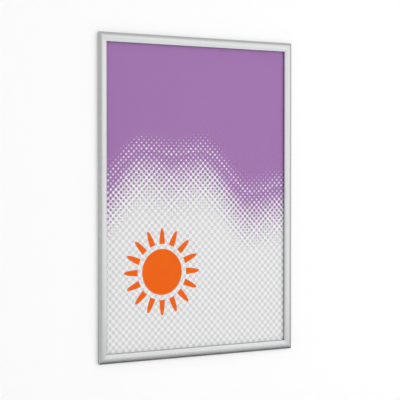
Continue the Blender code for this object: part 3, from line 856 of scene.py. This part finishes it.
def extrusion_grain():
    """Fine lines along a drawn or pressed metal: noise stretched along the map's first direction."""
    tree, given, result = new_group("extrusion_grain", {"Lines": 2600.0, "Stretch": 7.0},
                                    ("Line", "Band"))
    along, across, _ = separated(tree, given["Vector"])
    fine_x = calc(tree, "MULTIPLY", along, given["Stretch"])
    fine_y = calc(tree, "MULTIPLY", across, given["Lines"])
    fine = combined(tree, fine_x, fine_y, 0.0)
    broad = combined(tree, calc(tree, "MULTIPLY", fine_x, BAND_STRETCH),
                     calc(tree, "MULTIPLY", fine_y, BAND_LINES), 0.0)
    lines = noise(tree, fine, scale=1.0, detail=3.0, roughness=0.6, dimensions="2D")
    bands = noise(tree, broad, scale=1.0, detail=2.0, dimensions="2D")
    tree.links.new(spread(tree, lines, *LINE_RANGE), result["Line"])
    tree.links.new(spread(tree, bands, *BAND_RANGE), result["Band"])
    return tree


# Specks per patch of haze, and the ranges that the masks take
SPECKS_PER_PATCH = 45.0
HAZE_RANGE = (0.35, 0.7)
SPECK_RANGE = (0.1, 0.03)


def handling_haze():
    """Faint cloudy patches and small smears, as hands and cloths leave them."""
    tree, given, result = new_group("handling_haze", {"Size": 9.0}, ("Haze", "Specks"))
    cloud = noise(tree, given["Vector"], given["Size"], detail=5.0, roughness=0.62, distortion=0.6)
    specks = add_node(tree, "ShaderNodeTexVoronoi", {
        "Vector": given["Vector"], "Scale": calc(tree, "MULTIPLY", given["Size"], SPECKS_PER_PATCH),
        "Randomness": 1.0,
    })
    tree.links.new(spread(tree, cloud, *HAZE_RANGE), result["Haze"])
    tree.links.new(spread(tree, specks.outputs["Distance"], *SPECK_RANGE), result["Specks"])
    return tree


def halftone_dots():
    """Round dots on a lattice turned by 45 degrees: 1 where a point is nearer to its dot than Radius."""
    tree, given, result = new_group("halftone_dots", {"Pitch": 0.011, "Radius": 0.003}, ("Dot",))
    x, _, z = separated(tree, given["Vector"])
    squares = []
    for operation in ("ADD", "SUBTRACT"):
        diagonal = calc(tree, "MULTIPLY", calc(tree, operation, x, z), math.sqrt(0.5))
        repeat = calc(tree, "FRACT", calc(tree, "DIVIDE", diagonal, given["Pitch"]))
        squares.append(calc(tree, "POWER", calc(tree, "SUBTRACT", repeat, 0.5), 2.0))
    reach = calc(tree, "MULTIPLY", calc(tree, "SQRT", calc(tree, "ADD", *squares)), given["Pitch"])
    tree.links.new(calc(tree, "LESS_THAN", reach, given["Radius"]), result["Dot"])
    return tree


def make_groups():
    """Builds the shared node groups, once."""
    for build in (extrusion_grain, handling_haze, halftone_dots):
        if build.__name__ not in bpy.data.node_groups:
            build()


def use_group(tree, group, vector, **values):
    """Places a node group with its own values and returns its outputs."""
    inputs = {"Vector": vector, **values}
    return add_node(tree, "ShaderNodeGroup", inputs, node_tree=bpy.data.node_groups[group]).outputs


def new_material(name, colour):
    """A material with a Principled shader, and the coordinates that its patterns read."""
    material = bpy.data.materials.new(name)
    material.use_nodes = True
    tree = material.node_tree
    shader = tree.nodes["Principled BSDF"]
    material.diffuse_color = (*colour, 1.0)
    return material, tree, shader, add_node(tree, "ShaderNodeTexCoord").outputs["Object"]


def grain_vector(tree):
    """The map along a side and round its section."""
    return add_node(tree, "ShaderNodeUVMap", uv_map=GRAIN_MAP).outputs["UV"]


def shine(tree, shader, colour, roughness, height, depth, strength=1.0):
    """Feeds the shader's colour, roughness and normal."""
    tree.links.new(colour, shader.inputs["Base Color"])
    tree.links.new(roughness, shader.inputs["Roughness"])
    bump = add_node(tree, "ShaderNodeBump", {"Height": height, "Distance": depth, "Strength": strength})
    tree.links.new(bump.outputs[0], shader.inputs["Normal"])


def scaled(colour, factor):
    """The colour, brighter or darker in all its channels."""
    return tuple(min(channel * factor, 1.0) for channel in colour)


def tinted(colour, factors):
    """The colour with a factor for each channel."""
    return tuple(channel * factor for channel, factor in zip(colour, factors))


# Finishes: pattern sizes in repeats per metre, relief depths in metres. A roughness is that of the
# bare surface, and the values that end in _dull are what a mask adds to it
ALUMINIUM = SimpleNamespace(
    band_share=0.6, line_share=0.4, dim_cut=0.88, polish=0.05, haze_dull=0.04, line_dull=0.06,
    sawn_dull=0.1, sawn_relief=3.0, relief=0.00002, relief_strength=0.5,
    # The oxide skin takes some of the mirrored light where the metal is seen edge on
    edge_tint=(0.1, 0.1, 0.1, 1.0),
)
RUBBER = SimpleNamespace(
    haze_size=26.0, lines=1800.0, stretch=14.0, bloom_share=0.5, bloom_gain=3.2,
    roughness=0.58, haze_dull=0.14, relief=0.00001, gloss=0.4,
)
SPRING = SimpleNamespace(
    haze_size=60.0, lines=4200.0, stretch=60.0, straw=(1.12, 1.02, 0.82), blue=(0.86, 0.94, 1.1),
    roughness=0.26, line_dull=0.1, relief=0.000008,
)
ZINC = SimpleNamespace(
    haze_size=95.0, yellow=(1.08, 1.04, 0.9), blue=(0.92, 0.98, 1.1), speck_share=0.5, speck_tone=0.6,
    roughness=0.3, haze_dull=0.16, relief=0.00003,
)
PANEL = SimpleNamespace(
    haze_size=5.0, peel_size=420.0, light=1.02, dim=0.95, speck_share=0.25, speck_tone=0.7,
    roughness=0.46, haze_dull=0.1, relief=0.00004, relief_strength=0.6,
)
COVER = SimpleNamespace(
    haze_size=3.5, light=1.15, roughness=0.04, haze_dull=0.08, relief=0.00002, relief_strength=0.2,
    ior=1.49, gloss=0.9,
)
# The print: turns of its two waves per metre and where they start, dots in shares of their pitch,
# the sun's rays with their limits, and the mottle of the ink
PRINT = SimpleNamespace(
    wave=(9.2, 2.35), ripple=(27.0, 0.6), ink_dot=0.56, paper_dot=0.3, paper_fade=0.34,
    sun_place=(-0.115, -0.2), rays=16.0, ray_foot=1.22, ray_limits=(-0.25, 1.0),
    fibre_size=900.0, fibre_range=(0.4, 0.7), haze_size=6.0, mottle=0.018,
    roughness=0.5, haze_dull=0.08, relief=0.00002, relief_strength=0.4, gloss=0.02,
)


def aluminium(name, colour, sawn_colour, roughness, variation):
    """Pressed aluminium: lengthwise grain, broad die bands, light haze, bright sawn ends."""
    material, tree, shader, place = new_material(name, colour)
    grain = use_group(tree, "extrusion_grain", grain_vector(tree))
    haze = use_group(tree, "handling_haze", place)
    sawn = add_node(tree, "ShaderNodeAttribute", attribute_name=SAWN_MASK).outputs["Fac"]
    tone = rising(tree, 0.0, (grain["Band"], ALUMINIUM.band_share), (grain["Line"], ALUMINIUM.line_share))
    metal = blend_colours(tree, tone, scaled(colour, 1 - variation), scaled(colour, 1 + variation))
    cut = blend_colours(tree, grain["Line"], scaled(sawn_colour, ALUMINIUM.dim_cut), sawn_colour)
    rough = rising(tree, roughness - ALUMINIUM.polish, (haze["Haze"], ALUMINIUM.haze_dull),
                   (grain["Line"], ALUMINIUM.line_dull), (sawn, ALUMINIUM.sawn_dull))
    height = calc(tree, "MULTIPLY", grain["Line"], rising(tree, 1.0, (sawn, ALUMINIUM.sawn_relief)))
    shine(tree, shader, blend_colours(tree, sawn, metal, cut), rough, height,
          ALUMINIUM.relief, ALUMINIUM.relief_strength)
    shader.inputs["Metallic"].default_value = 1.0
    shader.inputs["Specular Tint"].default_value = ALUMINIUM.edge_tint
    return material


def rubber(colour):
    """Black rubber: grey bloom, fine skin, dull."""
    material, tree, shader, place = new_material("gasket_rubber", colour)
    haze = use_group(tree, "handling_haze", place, Size=RUBBER.haze_size)
    grain = use_group(tree, "extrusion_grain", grain_vector(tree),
                      Lines=RUBBER.lines, Stretch=RUBBER.stretch)
    bloom = calc(tree, "MULTIPLY", haze["Haze"], RUBBER.bloom_share)
    surface = blend_colours(tree, bloom, colour, scaled(colour, RUBBER.bloom_gain))
    rough = rising(tree, RUBBER.roughness, (haze["Haze"], RUBBER.haze_dull))
    shine(tree, shader, surface, rough, grain["Line"], RUBBER.relief)
    shader.inputs["Specular IOR Level"].default_value = RUBBER.gloss
    return material


def spring_steel(colour):
    """Tempered strip: rolled grain and a faint straw and blue film."""
    material, tree, shader, place = new_material("spring_steel", colour)
    grain = use_group(tree, "extrusion_grain", grain_vector(tree),
                      Lines=SPRING.lines, Stretch=SPRING.stretch)
    haze = use_group(tree, "handling_haze", place, Size=SPRING.haze_size)
    film = blend_colours(tree, haze["Haze"], tinted(colour, SPRING.straw), tinted(colour, SPRING.blue))
    rough = rising(tree, SPRING.roughness, (grain["Line"], SPRING.line_dull))
    shine(tree, shader, film, rough, grain["Line"], SPRING.relief)
    shader.inputs["Metallic"].default_value = 1.0
    return material


def specked(tree, haze, surface, colour, look):
    """The surface with the haze's small specks in a darker tone of its colour."""
    share = calc(tree, "MULTIPLY", haze["Specks"], look.speck_share)
    return blend_colours(tree, share, surface, scaled(colour, look.speck_tone))


def zinc_plate(colour):
    """Bright zinc: cloudy clear passivation with a faint yellow and blue play, and small specks."""
    material, tree, shader, place = new_material("zinc_plate", colour)
    haze = use_group(tree, "handling_haze", place, Size=ZINC.haze_size)
    film = blend_colours(tree, haze["Haze"], tinted(colour, ZINC.yellow), tinted(colour, ZINC.blue))
    rough = rising(tree, ZINC.roughness, (haze["Haze"], ZINC.haze_dull))
    shine(tree, shader, specked(tree, haze, film, colour, ZINC), rough, haze["Haze"], ZINC.relief)
    shader.inputs["Metallic"].default_value = 1.0
    return material


def panel_plastic(colour):
    """Sheet plastic: soft orange peel, faint clouds, scattered dust specks."""
    material, tree, shader, place = new_material("panel_plastic", colour)
    haze = use_group(tree, "handling_haze", place, Size=PANEL.haze_size)
    peel = noise(tree, place, PANEL.peel_size, detail=2.0)
    surface = blend_colours(tree, haze["Haze"], scaled(colour, PANEL.light), scaled(colour, PANEL.dim))
    rough = rising(tree, PANEL.roughness, (haze["Haze"], PANEL.haze_dull))
    shine(tree, shader, specked(tree, haze, surface, colour, PANEL), rough, peel,
          PANEL.relief, PANEL.relief_strength)
    return material


def clear_sheet(colour, alpha):
    """Thin clear sheet: nearly all shows through, with wiping marks in its shine."""
    material, tree, shader, place = new_material("clear_sheet", colour)
    haze = use_group(tree, "handling_haze", place, Size=COVER.haze_size)
    surface = blend_colours(tree, haze["Haze"], colour, scaled(colour, COVER.light))
    rough = rising(tree, COVER.roughness, (haze["Haze"], COVER.haze_dull))
    shine(tree, shader, surface, rough, haze["Haze"], COVER.relief, COVER.relief_strength)
    shader.inputs["Alpha"].default_value = alpha
    shader.inputs["IOR"].default_value = COVER.ior
    shader.inputs["Specular IOR Level"].default_value = COVER.gloss
    return material


def sine_wave(tree, x, turns, height):
    """A sine of the place across, with its turns per metre and its start, times its height."""
    return calc(tree, "MULTIPLY", calc(tree, "SINE", calc(tree, "MULTIPLY_ADD", x, *turns)), height)


def sun_mask(tree, x, z, design):
    """A disc and its rays.

    A ray shows where the cosine of sixteen times the direction passes a limit that rises with the
    distance, so that it comes to a point.
    """
    from_x = calc(tree, "SUBTRACT", x, PRINT.sun_place[0])
    from_z = calc(tree, "SUBTRACT", z, PRINT.sun_place[1])
    squares = [calc(tree, "POWER", way, 2.0) for way in (from_x, from_z)]
    distance = calc(tree, "SQRT", calc(tree, "ADD", *squares))
    direction = calc(tree, "ARCTAN2", from_z, from_x)
    wave = calc(tree, "COSINE", calc(tree, "MULTIPLY", direction, PRINT.rays))
    ray_start = design.sun_radius * PRINT.ray_foot
    limit = spread(tree, distance, ray_start, design.ray_reach, *PRINT.ray_limits)
    ray = calc(tree, "MULTIPLY", calc(tree, "GREATER_THAN", wave, limit),
               calc(tree, "GREATER_THAN", distance, ray_start))
    return calc(tree, "MAXIMUM", ray, calc(tree, "LESS_THAN", distance, design.sun_radius))


def field_mask(tree, place, above, design):
    """Where the field's ink lies: above the wave's edge but for paper dots, and in dots below it.

    Dots of ink shrink evenly below the edge, and dots of paper shrink above it. The paper's dots
    lie midway between the places of the ink's.
    """
    pitch = design.dot_pitch
    ink_radius = spread(tree, above, -design.dot_fade, 0.0, 0.0, pitch * PRINT.ink_dot)
    paper_radius = spread(tree, above, design.dot_fade * PRINT.paper_fade, 0.0, 0.0,
                          pitch * PRINT.paper_dot)
    midway = add_node(tree, "ShaderNodeVectorMath", {0: place, 1: (pitch * math.sqrt(0.5), 0.0, 0.0)},
                      operation="ADD").outputs[0]
    ink_dots = use_group(tree, "halftone_dots", place, Pitch=pitch, Radius=ink_radius)["Dot"]
    paper_dots = use_group(tree, "halftone_dots", midway, Pitch=pitch, Radius=paper_radius)["Dot"]
    in_field = calc(tree, "GREATER_THAN", above, 0.0)
    field_ink = calc(tree, "MULTIPLY", in_field, calc(tree, "SUBTRACT", 1.0, paper_dots))
    dot_ink = calc(tree, "MULTIPLY", calc(tree, "SUBTRACT", 1.0, in_field), ink_dots)
    return calc(tree, "ADD", field_ink, dot_ink)


def printed_sheet(design):
    """The print: a wavy field over light cells, dots that run out below it, and a sun.

    The field's edge is a level plus a long and a short sine of the place across.
    """
    material, tree, shader, place = new_material("printed_paper", design.field)
    x, _, z = separated(tree, place)
    long_wave = sine_wave(tree, x, PRINT.wave, design.wave_height)
    ripple = sine_wave(tree, x, PRINT.ripple, design.ripple_height)
    edge = calc(tree, "ADD", calc(tree, "ADD", long_wave, ripple), design.wave_level)
    above = calc(tree, "SUBTRACT", z, edge)
    # Half a cell deep everywhere, so that the print meets one layer of the checker's cubes
    flat_place = combined(tree, x, z, design.cell_size / 2)
    cells = add_node(tree, "ShaderNodeTexChecker", {"Vector": flat_place, "Scale": 1 / design.cell_size})
    paper = blend_colours(tree, cells.outputs["Fac"], design.paper, design.cell)
    surface = blend_colours(tree, field_mask(tree, place, above, design), paper, design.field)
    surface = blend_colours(tree, sun_mask(tree, x, z, design), surface, design.accent)
    fibre = noise(tree, place, PRINT.fibre_size, detail=3.0)
    haze = use_group(tree, "handling_haze", place, Size=PRINT.haze_size)
    mottle = calc(tree, "ADD", spread(tree, fibre, *PRINT.fibre_range), haze["Haze"])
    deep_ink = calc(tree, "MULTIPLY", mottle, PRINT.mottle)
    surface = blend_colours(tree, deep_ink, surface, (0.0, 0.0, 0.0))
    rough = rising(tree, PRINT.roughness, (haze["Haze"], PRINT.haze_dull))
    shine(tree, shader, surface, rough, fibre, PRINT.relief, PRINT.relief_strength)
    shader.inputs["Specular IOR Level"].default_value = PRINT.gloss
    return material


# Operators

class SNAPFRAME_OT_snap_rails(bpy.types.Operator):
    """Builds the four curved front rails"""
    bl_idname = "snap_frame.snap_rails"
    bl_label = "Front Rails"

    def execute(self, context):
        given = context.scene
        finish = given.snap_frame_finish
        make_groups()
        metal = aluminium("satin_aluminium", tuple(finish.satin), tuple(finish.sawn),
                          finish.satin_roughness, finish.satin_variation)
        for turns, side in enumerate(SIDES):
            surfaces = snap_rail_surfaces(given.snap_frame_snap_rail, given.snap_frame_gasket,
                                          SIDE_SIZES[turns][0])
            add_side_piece("front_rail_" + side, surfaces, turns, metal, side + "_front_rail",
                           "snap_rail_" + side)
        return {"FINISHED"}


class SNAPFRAME_OT_gaskets(bpy.types.Operator):
    """Builds the four gaskets in the front rails' inner lips"""
    bl_idname = "snap_frame.gaskets"
    bl_label = "Gaskets"

    def execute(self, context):
        make_groups()
        material = rubber(tuple(context.scene.snap_frame_finish.rubber))
        outline = gasket_outline(context.scene.snap_frame_gasket)
        for turns, side in enumerate(SIDES):
            end = mitred_end(outline, SIDE_SIZES[turns][0])
            add_side_piece("rubber_gasket_" + side, closed_bar(outline, [-end, end]), turns, material,
                           side + "_front_rail", "gasket_" + side)
        return {"FINISHED"}


class SNAPFRAME_OT_base_rails(bpy.types.Operator):
    """Builds the four base rails on the wall"""
    bl_idname = "snap_frame.base_rails"
    bl_label = "Base Rails"

    def execute(self, context):
        finish = context.scene.snap_frame_finish
        make_groups()
        metal = aluminium("plain_aluminium", tuple(finish.mill), tuple(finish.sawn),
                          finish.mill_roughness, finish.mill_variation)
        for turns, side in enumerate(SIDES):
            half_length, half_across = SIDE_SIZES[turns]
            surfaces = base_rail_surfaces(context.scene.snap_frame_base_rail, half_length,
                                          half_length > half_across)
            add_side_piece("wall_rail_" + side, surfaces, turns, metal, "frame_body",
                           "base_rail_" + side)
        return {"FINISHED"}


class SNAPFRAME_OT_springs(bpy.types.Operator):
    """Builds the leaf springs under the front rails' heels"""
    bl_idname = "snap_frame.springs"
    bl_label = "Leaf Springs"

    def execute(self, context):
        given = context.scene
        make_groups()
        steel = spring_steel(tuple(given.snap_frame_finish.spring))
        heel_tip_u = HINGE_U + given.snap_frame_snap_rail.heel_reach
        outline = spring_outline(given.snap_frame_base_rail, heel_tip_u)
        for turns, side in enumerate(SIDES):
            names = sorted(name for name in frame["nodes"] if name.startswith("spring_" + side))
            for name in names:
                low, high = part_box(name)
                middle = ((low[0] + high[0]) / 2, (low[2] + high[2]) / 2)
                along = (middle[0], -middle[1], -middle[0], middle[1])[turns]
                ends = [np.full(len(outline), along + sign * SPRING_HALF_LENGTH) for sign in (-1, 1)]
                add_side_piece("leaf_" + name, closed_bar(outline, ends), turns, steel,
                               "frame_body", name)
        return {"FINISHED"}


class SNAPFRAME_OT_corner_hardware(bpy.types.Operator):
    """Gives the corner brackets and their grub screws their zinc finish"""
    bl_idname = "snap_frame.corner_hardware"
    bl_label = "Corner Brackets and Screws"

    def execute(self, context):
        make_groups()
        zinc = zinc_plate(tuple(context.scene.snap_frame_finish.zinc))
        for name, node in frame["nodes"].items():
            if name.startswith(("corner_bracket_", "grub_screw_")):
                node.data.materials.clear()
                node.data.materials.append(zinc)
        return {"FINISHED"}


class SNAPFRAME_OT_back_panel(bpy.types.Operator):
    """Builds the plastic panel behind the printed sheet"""
    bl_idname = "snap_frame.back_panel"
    bl_label = "Back Panel"

    def execute(self, context):
        make_groups()
        material = panel_plastic(tuple(context.scene.snap_frame_finish.panel))
        plate = rounded_plate(*sheet_sizes("back_panel"), PLATE_CORNER_RADIUS, PANEL_EDGE_RADIUS)
        add_piece("plastic_back_panel", [plate], material, "frame_body", "back_panel")
        return {"FINISHED"}


class SNAPFRAME_OT_poster(bpy.types.Operator):
    """Builds the printed sheet"""
    bl_idname = "snap_frame.poster"
    bl_label = "Printed Sheet"

    def execute(self, context):
        make_groups()
        material = printed_sheet(context.scene.snap_frame_print)
        sheet = rippled_sheet(*sheet_sizes("poster"), POSTER_RIPPLE)
        add_piece("printed_poster", [sheet], material, "frame_body", "poster")
        return {"FINISHED"}


class SNAPFRAME_OT_front_cover(bpy.types.Operator):
    """Builds the clear sheet over the print"""
    bl_idname = "snap_frame.front_cover"
    bl_label = "Front Cover"

    def execute(self, context):
        finish = context.scene.snap_frame_finish
        make_groups()
        material = clear_sheet(tuple(finish.clear), finish.clear_alpha)
        plate = rounded_plate(*sheet_sizes("front_cover"), PLATE_CORNER_RADIUS, COVER_EDGE_RADIUS)
        add_piece("clear_front_cover", [plate], material, "frame_body", "front_cover")
        return {"FINISHED"}


# Wall and floor, in metres: the wall's place just behind the frame, its opening in from the
# frame's edge, and how far both reach
WALL_Y = 0.0006
WALL_OPENING_U = 3.6 * MM
STAGE_REACH = 6.0
WALL_TOP = 4.0
# Their paint: its stipple, and faint clouds in its tone and shine
STIPPLE_SIZE = 260.0
STIPPLE_RELIEF = 0.00002
STIPPLE_STRENGTH = 0.2
CLOUD_SIZE = 2.0
CLOUD_TONE = 0.995
CLOUD_RANGE = (0.3, 0.7)
PAINT_ROUGHNESS = (0.86, 0.94)
# The stage to the camera: this share plain white, the rest lit paint, which keeps the shadow
STAGE_WHITE_SHARE = 0.3
# The stage as metal mirrors it: this share of the lit paint, and painted shade for the rest, heaviest
# along the line where wall and floor meet, so that the bottom rail keeps its dark edge. Height on the
# wall counts more than once
MIRRORED_REACH = (0.3, 1.9)
MIRRORED_SHARES = (0.17, 0.95)
MIRRORED_HEIGHT_GAIN = 2.0

# The camera: place in metres, turn to the right, tilt down and focal length in millimetres
CAMERA_PLACE = (-1.965, -3.098, 0.068)
CAMERA_YAW_DEG = 32.49
CAMERA_DOWN_DEG = 1.18
CAMERA_LENS = 120.6
CAMERA_SENSOR = 36.0
CAMERA_CLIP = 0.05

# Softboxes that face the frame: distances and sizes in metres, the level to which each lights
# white paint there, and whether metal and the clear sheet show it
LAMPS = (
    dict(name="right_softbox", azimuth_deg=39.5, elevation_deg=6.0, distance=3.2,
         width=2.65, height=2.4, level=0.1, mirrored=True),
    dict(name="upper_fill", azimuth_deg=4.0, elevation_deg=24.0, distance=3.6,
         width=3.2, height=3.2, level=0.12, mirrored=False),
)

# The surroundings: sine of the elevation, and share of their level there
SKY_STEPS = ((-1.0, 0.45), (-0.56, 0.55), (0.0, 0.95), (0.6, 1.0), (1.0, 0.92))


def flat_mesh(name, corners, faces):
    """A mesh of flat faces for the stage."""
    mesh = bpy.data.meshes.new(name)
    mesh.from_pydata(corners, [], faces)
    return mesh


def wall_mesh(floor_z):
    """A wall with an opening that the frame covers, so that light from behind reaches its back."""
    half_x = HALF_WIDTH - WALL_OPENING_U
    half_z = HALF_HEIGHT - WALL_OPENING_U
    edges = ((STAGE_REACH, floor_z, WALL_TOP), (half_x, -half_z, half_z))
    corners = [(x, WALL_Y, z) for reach, low, high in edges
               for x, z in ((-reach, low), (reach, low), (reach, high), (-reach, high))]
    sides = [(side, (side + 1) % 4, (side + 1) % 4 + 4, side + 4) for side in range(4)]
    return flat_mesh("stage_wall", corners, sides)


def floor_mesh(floor_z):
    """The floor, from the wall to the front."""
    corners = [(-STAGE_REACH, -STAGE_REACH, floor_z), (STAGE_REACH, -STAGE_REACH, floor_z),
               (STAGE_REACH, WALL_Y, floor_z), (-STAGE_REACH, WALL_Y, floor_z)]
    return flat_mesh("stage_floor", corners, [(0, 1, 2, 3)])


def blend_shaders(tree, share, first, second):
    """A mix of two shaders."""
    return add_node(tree, "ShaderNodeMixShader", {0: share, 1: first, 2: second}).outputs[0]


def stage_material(colour, floor_z):
    """Matt white paint, seen from its front alone so that the frame's back can be looked at.

    The camera and the clear sheet see lit paint with a share of plain white. Mirrored rays see the
    lit paint with painted shade mixed in, the more the nearer a point lies to the line where wall and
    floor meet.
    """
    material, tree, shader, place = new_material("stage_paint", colour)
    stipple = noise(tree, place, STIPPLE_SIZE, detail=2.0)
    cloud = noise(tree, place, CLOUD_SIZE, detail=2.0)
    paint = blend_colours(tree, cloud, scaled(colour, CLOUD_TONE), colour)
    rough = spread(tree, cloud, *CLOUD_RANGE, *PAINT_ROUGHNESS)
    shine(tree, shader, paint, rough, stipple, STIPPLE_RELIEF, STIPPLE_STRENGTH)
    shader.inputs["Specular IOR Level"].default_value = 0.0
    rays = add_node(tree, "ShaderNodeLightPath").outputs
    seen = calc(tree, "MAXIMUM", rays["Is Camera Ray"], rays["Is Transmission Ray"])
    white = add_node(tree, "ShaderNodeEmission", {"Strength": 1.0}).outputs[0]
    plain = shader.outputs[0]
    direct = blend_shaders(tree, calc(tree, "MULTIPLY", seen, STAGE_WHITE_SHARE), plain, white)
    _, y, z = separated(tree, place)
    # Painted shade for mirrored rays: black mixed into the lit paint, heaviest near the line where wall
    # and floor meet
    height = calc(tree, "MULTIPLY", calc(tree, "SUBTRACT", z, floor_z), MIRRORED_HEIGHT_GAIN)
    from_corner = calc(tree, "SUBTRACT", height, y)
    painted_corner_shade = add_node(tree, "ShaderNodeEmission", {"Strength": 0.0}).outputs[0]
    lit_paint_share = spread(tree, from_corner, *MIRRORED_REACH, *MIRRORED_SHARES)
    mirrored = blend_shaders(tree, lit_paint_share, painted_corner_shade, plain)
    front = blend_shaders(tree, rays["Is Glossy Ray"], direct, mirrored)
    is_back = add_node(tree, "ShaderNodeNewGeometry").outputs["Backfacing"]
    clear = add_node(tree, "ShaderNodeBsdfTransparent").outputs[0]
    look = blend_shaders(tree, is_back, front, clear)
    tree.links.new(look, tree.nodes["Material Output"].inputs["Surface"])
    material.cycles.emission_sampling = "NONE"
    return material


def toward(azimuth_deg, elevation_deg, distance):
    """A point in front of the frame: azimuth counts to the right of straight out of the wall."""
    azimuth = math.radians(azimuth_deg)
    elevation = math.radians(elevation_deg)
    return (distance * math.sin(azimuth) * math.cos(elevation),
            -distance * math.cos(azimuth) * math.cos(elevation),
            distance * math.sin(elevation))


def add_softbox(name, azimuth_deg, elevation_deg, distance, width, height, level, mirrored):
    """An area lamp that faces the frame's centre, as strong as lights white paint there to its level."""
    lamp = bpy.data.lights.new(name, "AREA")
    lamp.shape = "RECTANGLE"
    lamp.size = width
    lamp.size_y = height
    tilt = math.cos(math.radians(azimuth_deg)) * math.cos(math.radians(elevation_deg))
    lamp.energy = level * math.pi ** 2 * distance ** 2 / tilt
    holder = bpy.data.objects.new(name, lamp)
    bpy.context.scene.collection.objects.link(holder)
    holder.location = toward(azimuth_deg, elevation_deg, distance)
    holder.rotation_euler = (math.radians(90.0 - elevation_deg), 0.0, math.radians(azimuth_deg))
    holder.visible_glossy = mirrored


def add_camera():
    """The camera, to the left of the frame and level with its middle."""
    camera = bpy.data.cameras.new("camera")
    camera.sensor_width = CAMERA_SENSOR
    camera.lens = CAMERA_LENS
    camera.clip_start = CAMERA_CLIP
    holder = bpy.data.objects.new("camera", camera)
    bpy.context.scene.collection.objects.link(holder)
    holder.location = CAMERA_PLACE
    holder.rotation_euler = (math.radians(90.0 - CAMERA_DOWN_DEG), 0.0,
                             math.radians(-CAMERA_YAW_DEG))
    return holder


def surroundings(level):
    """Soft light from all round, dimmer below and brighter above."""
    world = bpy.data.worlds.new("studio_surroundings")
    world.use_nodes = True
    tree = world.node_tree
    way = add_node(tree, "ShaderNodeTexCoord").outputs["Generated"]
    height = separated(tree, way)[2]
    ramp = add_node(tree, "ShaderNodeFloatCurve", {"Value": spread(tree, height, -1.0, 1.0)})
    points = ramp.mapping.curves[0].points
    while len(points) < len(SKY_STEPS):
        points.new(0.5, 0.5)
    for point, (sine, share) in zip(points, SKY_STEPS):
        point.location = ((sine + 1) / 2, share)
        point.handle_type = "VECTOR"
    ramp.mapping.update()
    strength = calc(tree, "MULTIPLY", ramp.outputs[0], level)
    tree.links.new(strength, tree.nodes["Background"].inputs["Strength"])
    tree.nodes["Background"].inputs["Color"].default_value = (1.0, 1.0, 1.0, 1.0)
    return world


class SNAPFRAME_OT_studio(bpy.types.Operator):
    """Builds the wall, the floor, the lamps and the camera"""
    bl_idname = "snap_frame.studio"
    bl_label = "Studio"

    def execute(self, context):
        scene = context.scene
        studio = scene.snap_frame_studio
        floor_z = -HALF_HEIGHT - studio.floor_drop
        paint = stage_material(tuple(studio.wall), floor_z)
        for mesh in (wall_mesh(floor_z), floor_mesh(floor_z)):
            mesh.materials.append(paint)
            surface = bpy.data.objects.new(mesh.name, mesh)
            scene.collection.objects.link(surface)
        for lamp in LAMPS:
            add_softbox(**lamp)
        scene.world = surroundings(studio.sky_level)
        scene.camera = add_camera()
        scene.view_settings.view_transform = "Standard"
        return {"FINISHED"}


STEPS = (
    SNAPFRAME_OT_studio, SNAPFRAME_OT_base_rails, SNAPFRAME_OT_corner_hardware, SNAPFRAME_OT_springs,
    SNAPFRAME_OT_back_panel, SNAPFRAME_OT_poster, SNAPFRAME_OT_front_cover, SNAPFRAME_OT_snap_rails,
    SNAPFRAME_OT_gaskets,
)


class SNAPFRAME_PT_panel(bpy.types.Panel):
    """Lists the steps and their values"""
    bl_idname = "SNAPFRAME_PT_panel"
    bl_label = "Snap Frame"
    bl_space_type = "VIEW_3D"
    bl_region_type = "UI"
    bl_category = "Snap Frame"

    def draw(self, context):
        for step in STEPS:
            self.layout.operator(step.bl_idname, text=step.bl_label)
        for group in GROUPS:
            box = self.layout.box()
            values = getattr(context.scene, group_name(group))
            box.label(text=group.__doc__)
            for label in group.__annotations__:
                box.prop(values, label)


CLASSES = GROUPS + STEPS + (SNAPFRAME_PT_panel,)


def group_name(group):
    """The name under which the scene keeps a group's values."""
    return group.__name__.replace("SNAPFRAME_PG_", "snap_frame_")


def register():
    """Adds the classes to Blender and their values to the scene."""
    for one in CLASSES:
        bpy.utils.register_class(one)
    for group in GROUPS:
        # Makes a piece of surfaces with a finish, hangs it on what it rides on and hides the part that it
        # stands for.
        setattr(bpy.types.Scene, group_name(group), PointerProperty(type=group))


def unregister():
    """Takes the values and the classes away again."""
    for group in GROUPS:
        delattr(bpy.types.Scene, group_name(group))
    for one in reversed(CLASSES):
        bpy.utils.unregister_class(one)


def main():
    """Runs every step in order."""
    register()
    for step in STEPS:
        module, name = step.bl_idname.split(".")
        getattr(getattr(bpy.ops, module), name)()


if __name__ == "__main__":
    main()
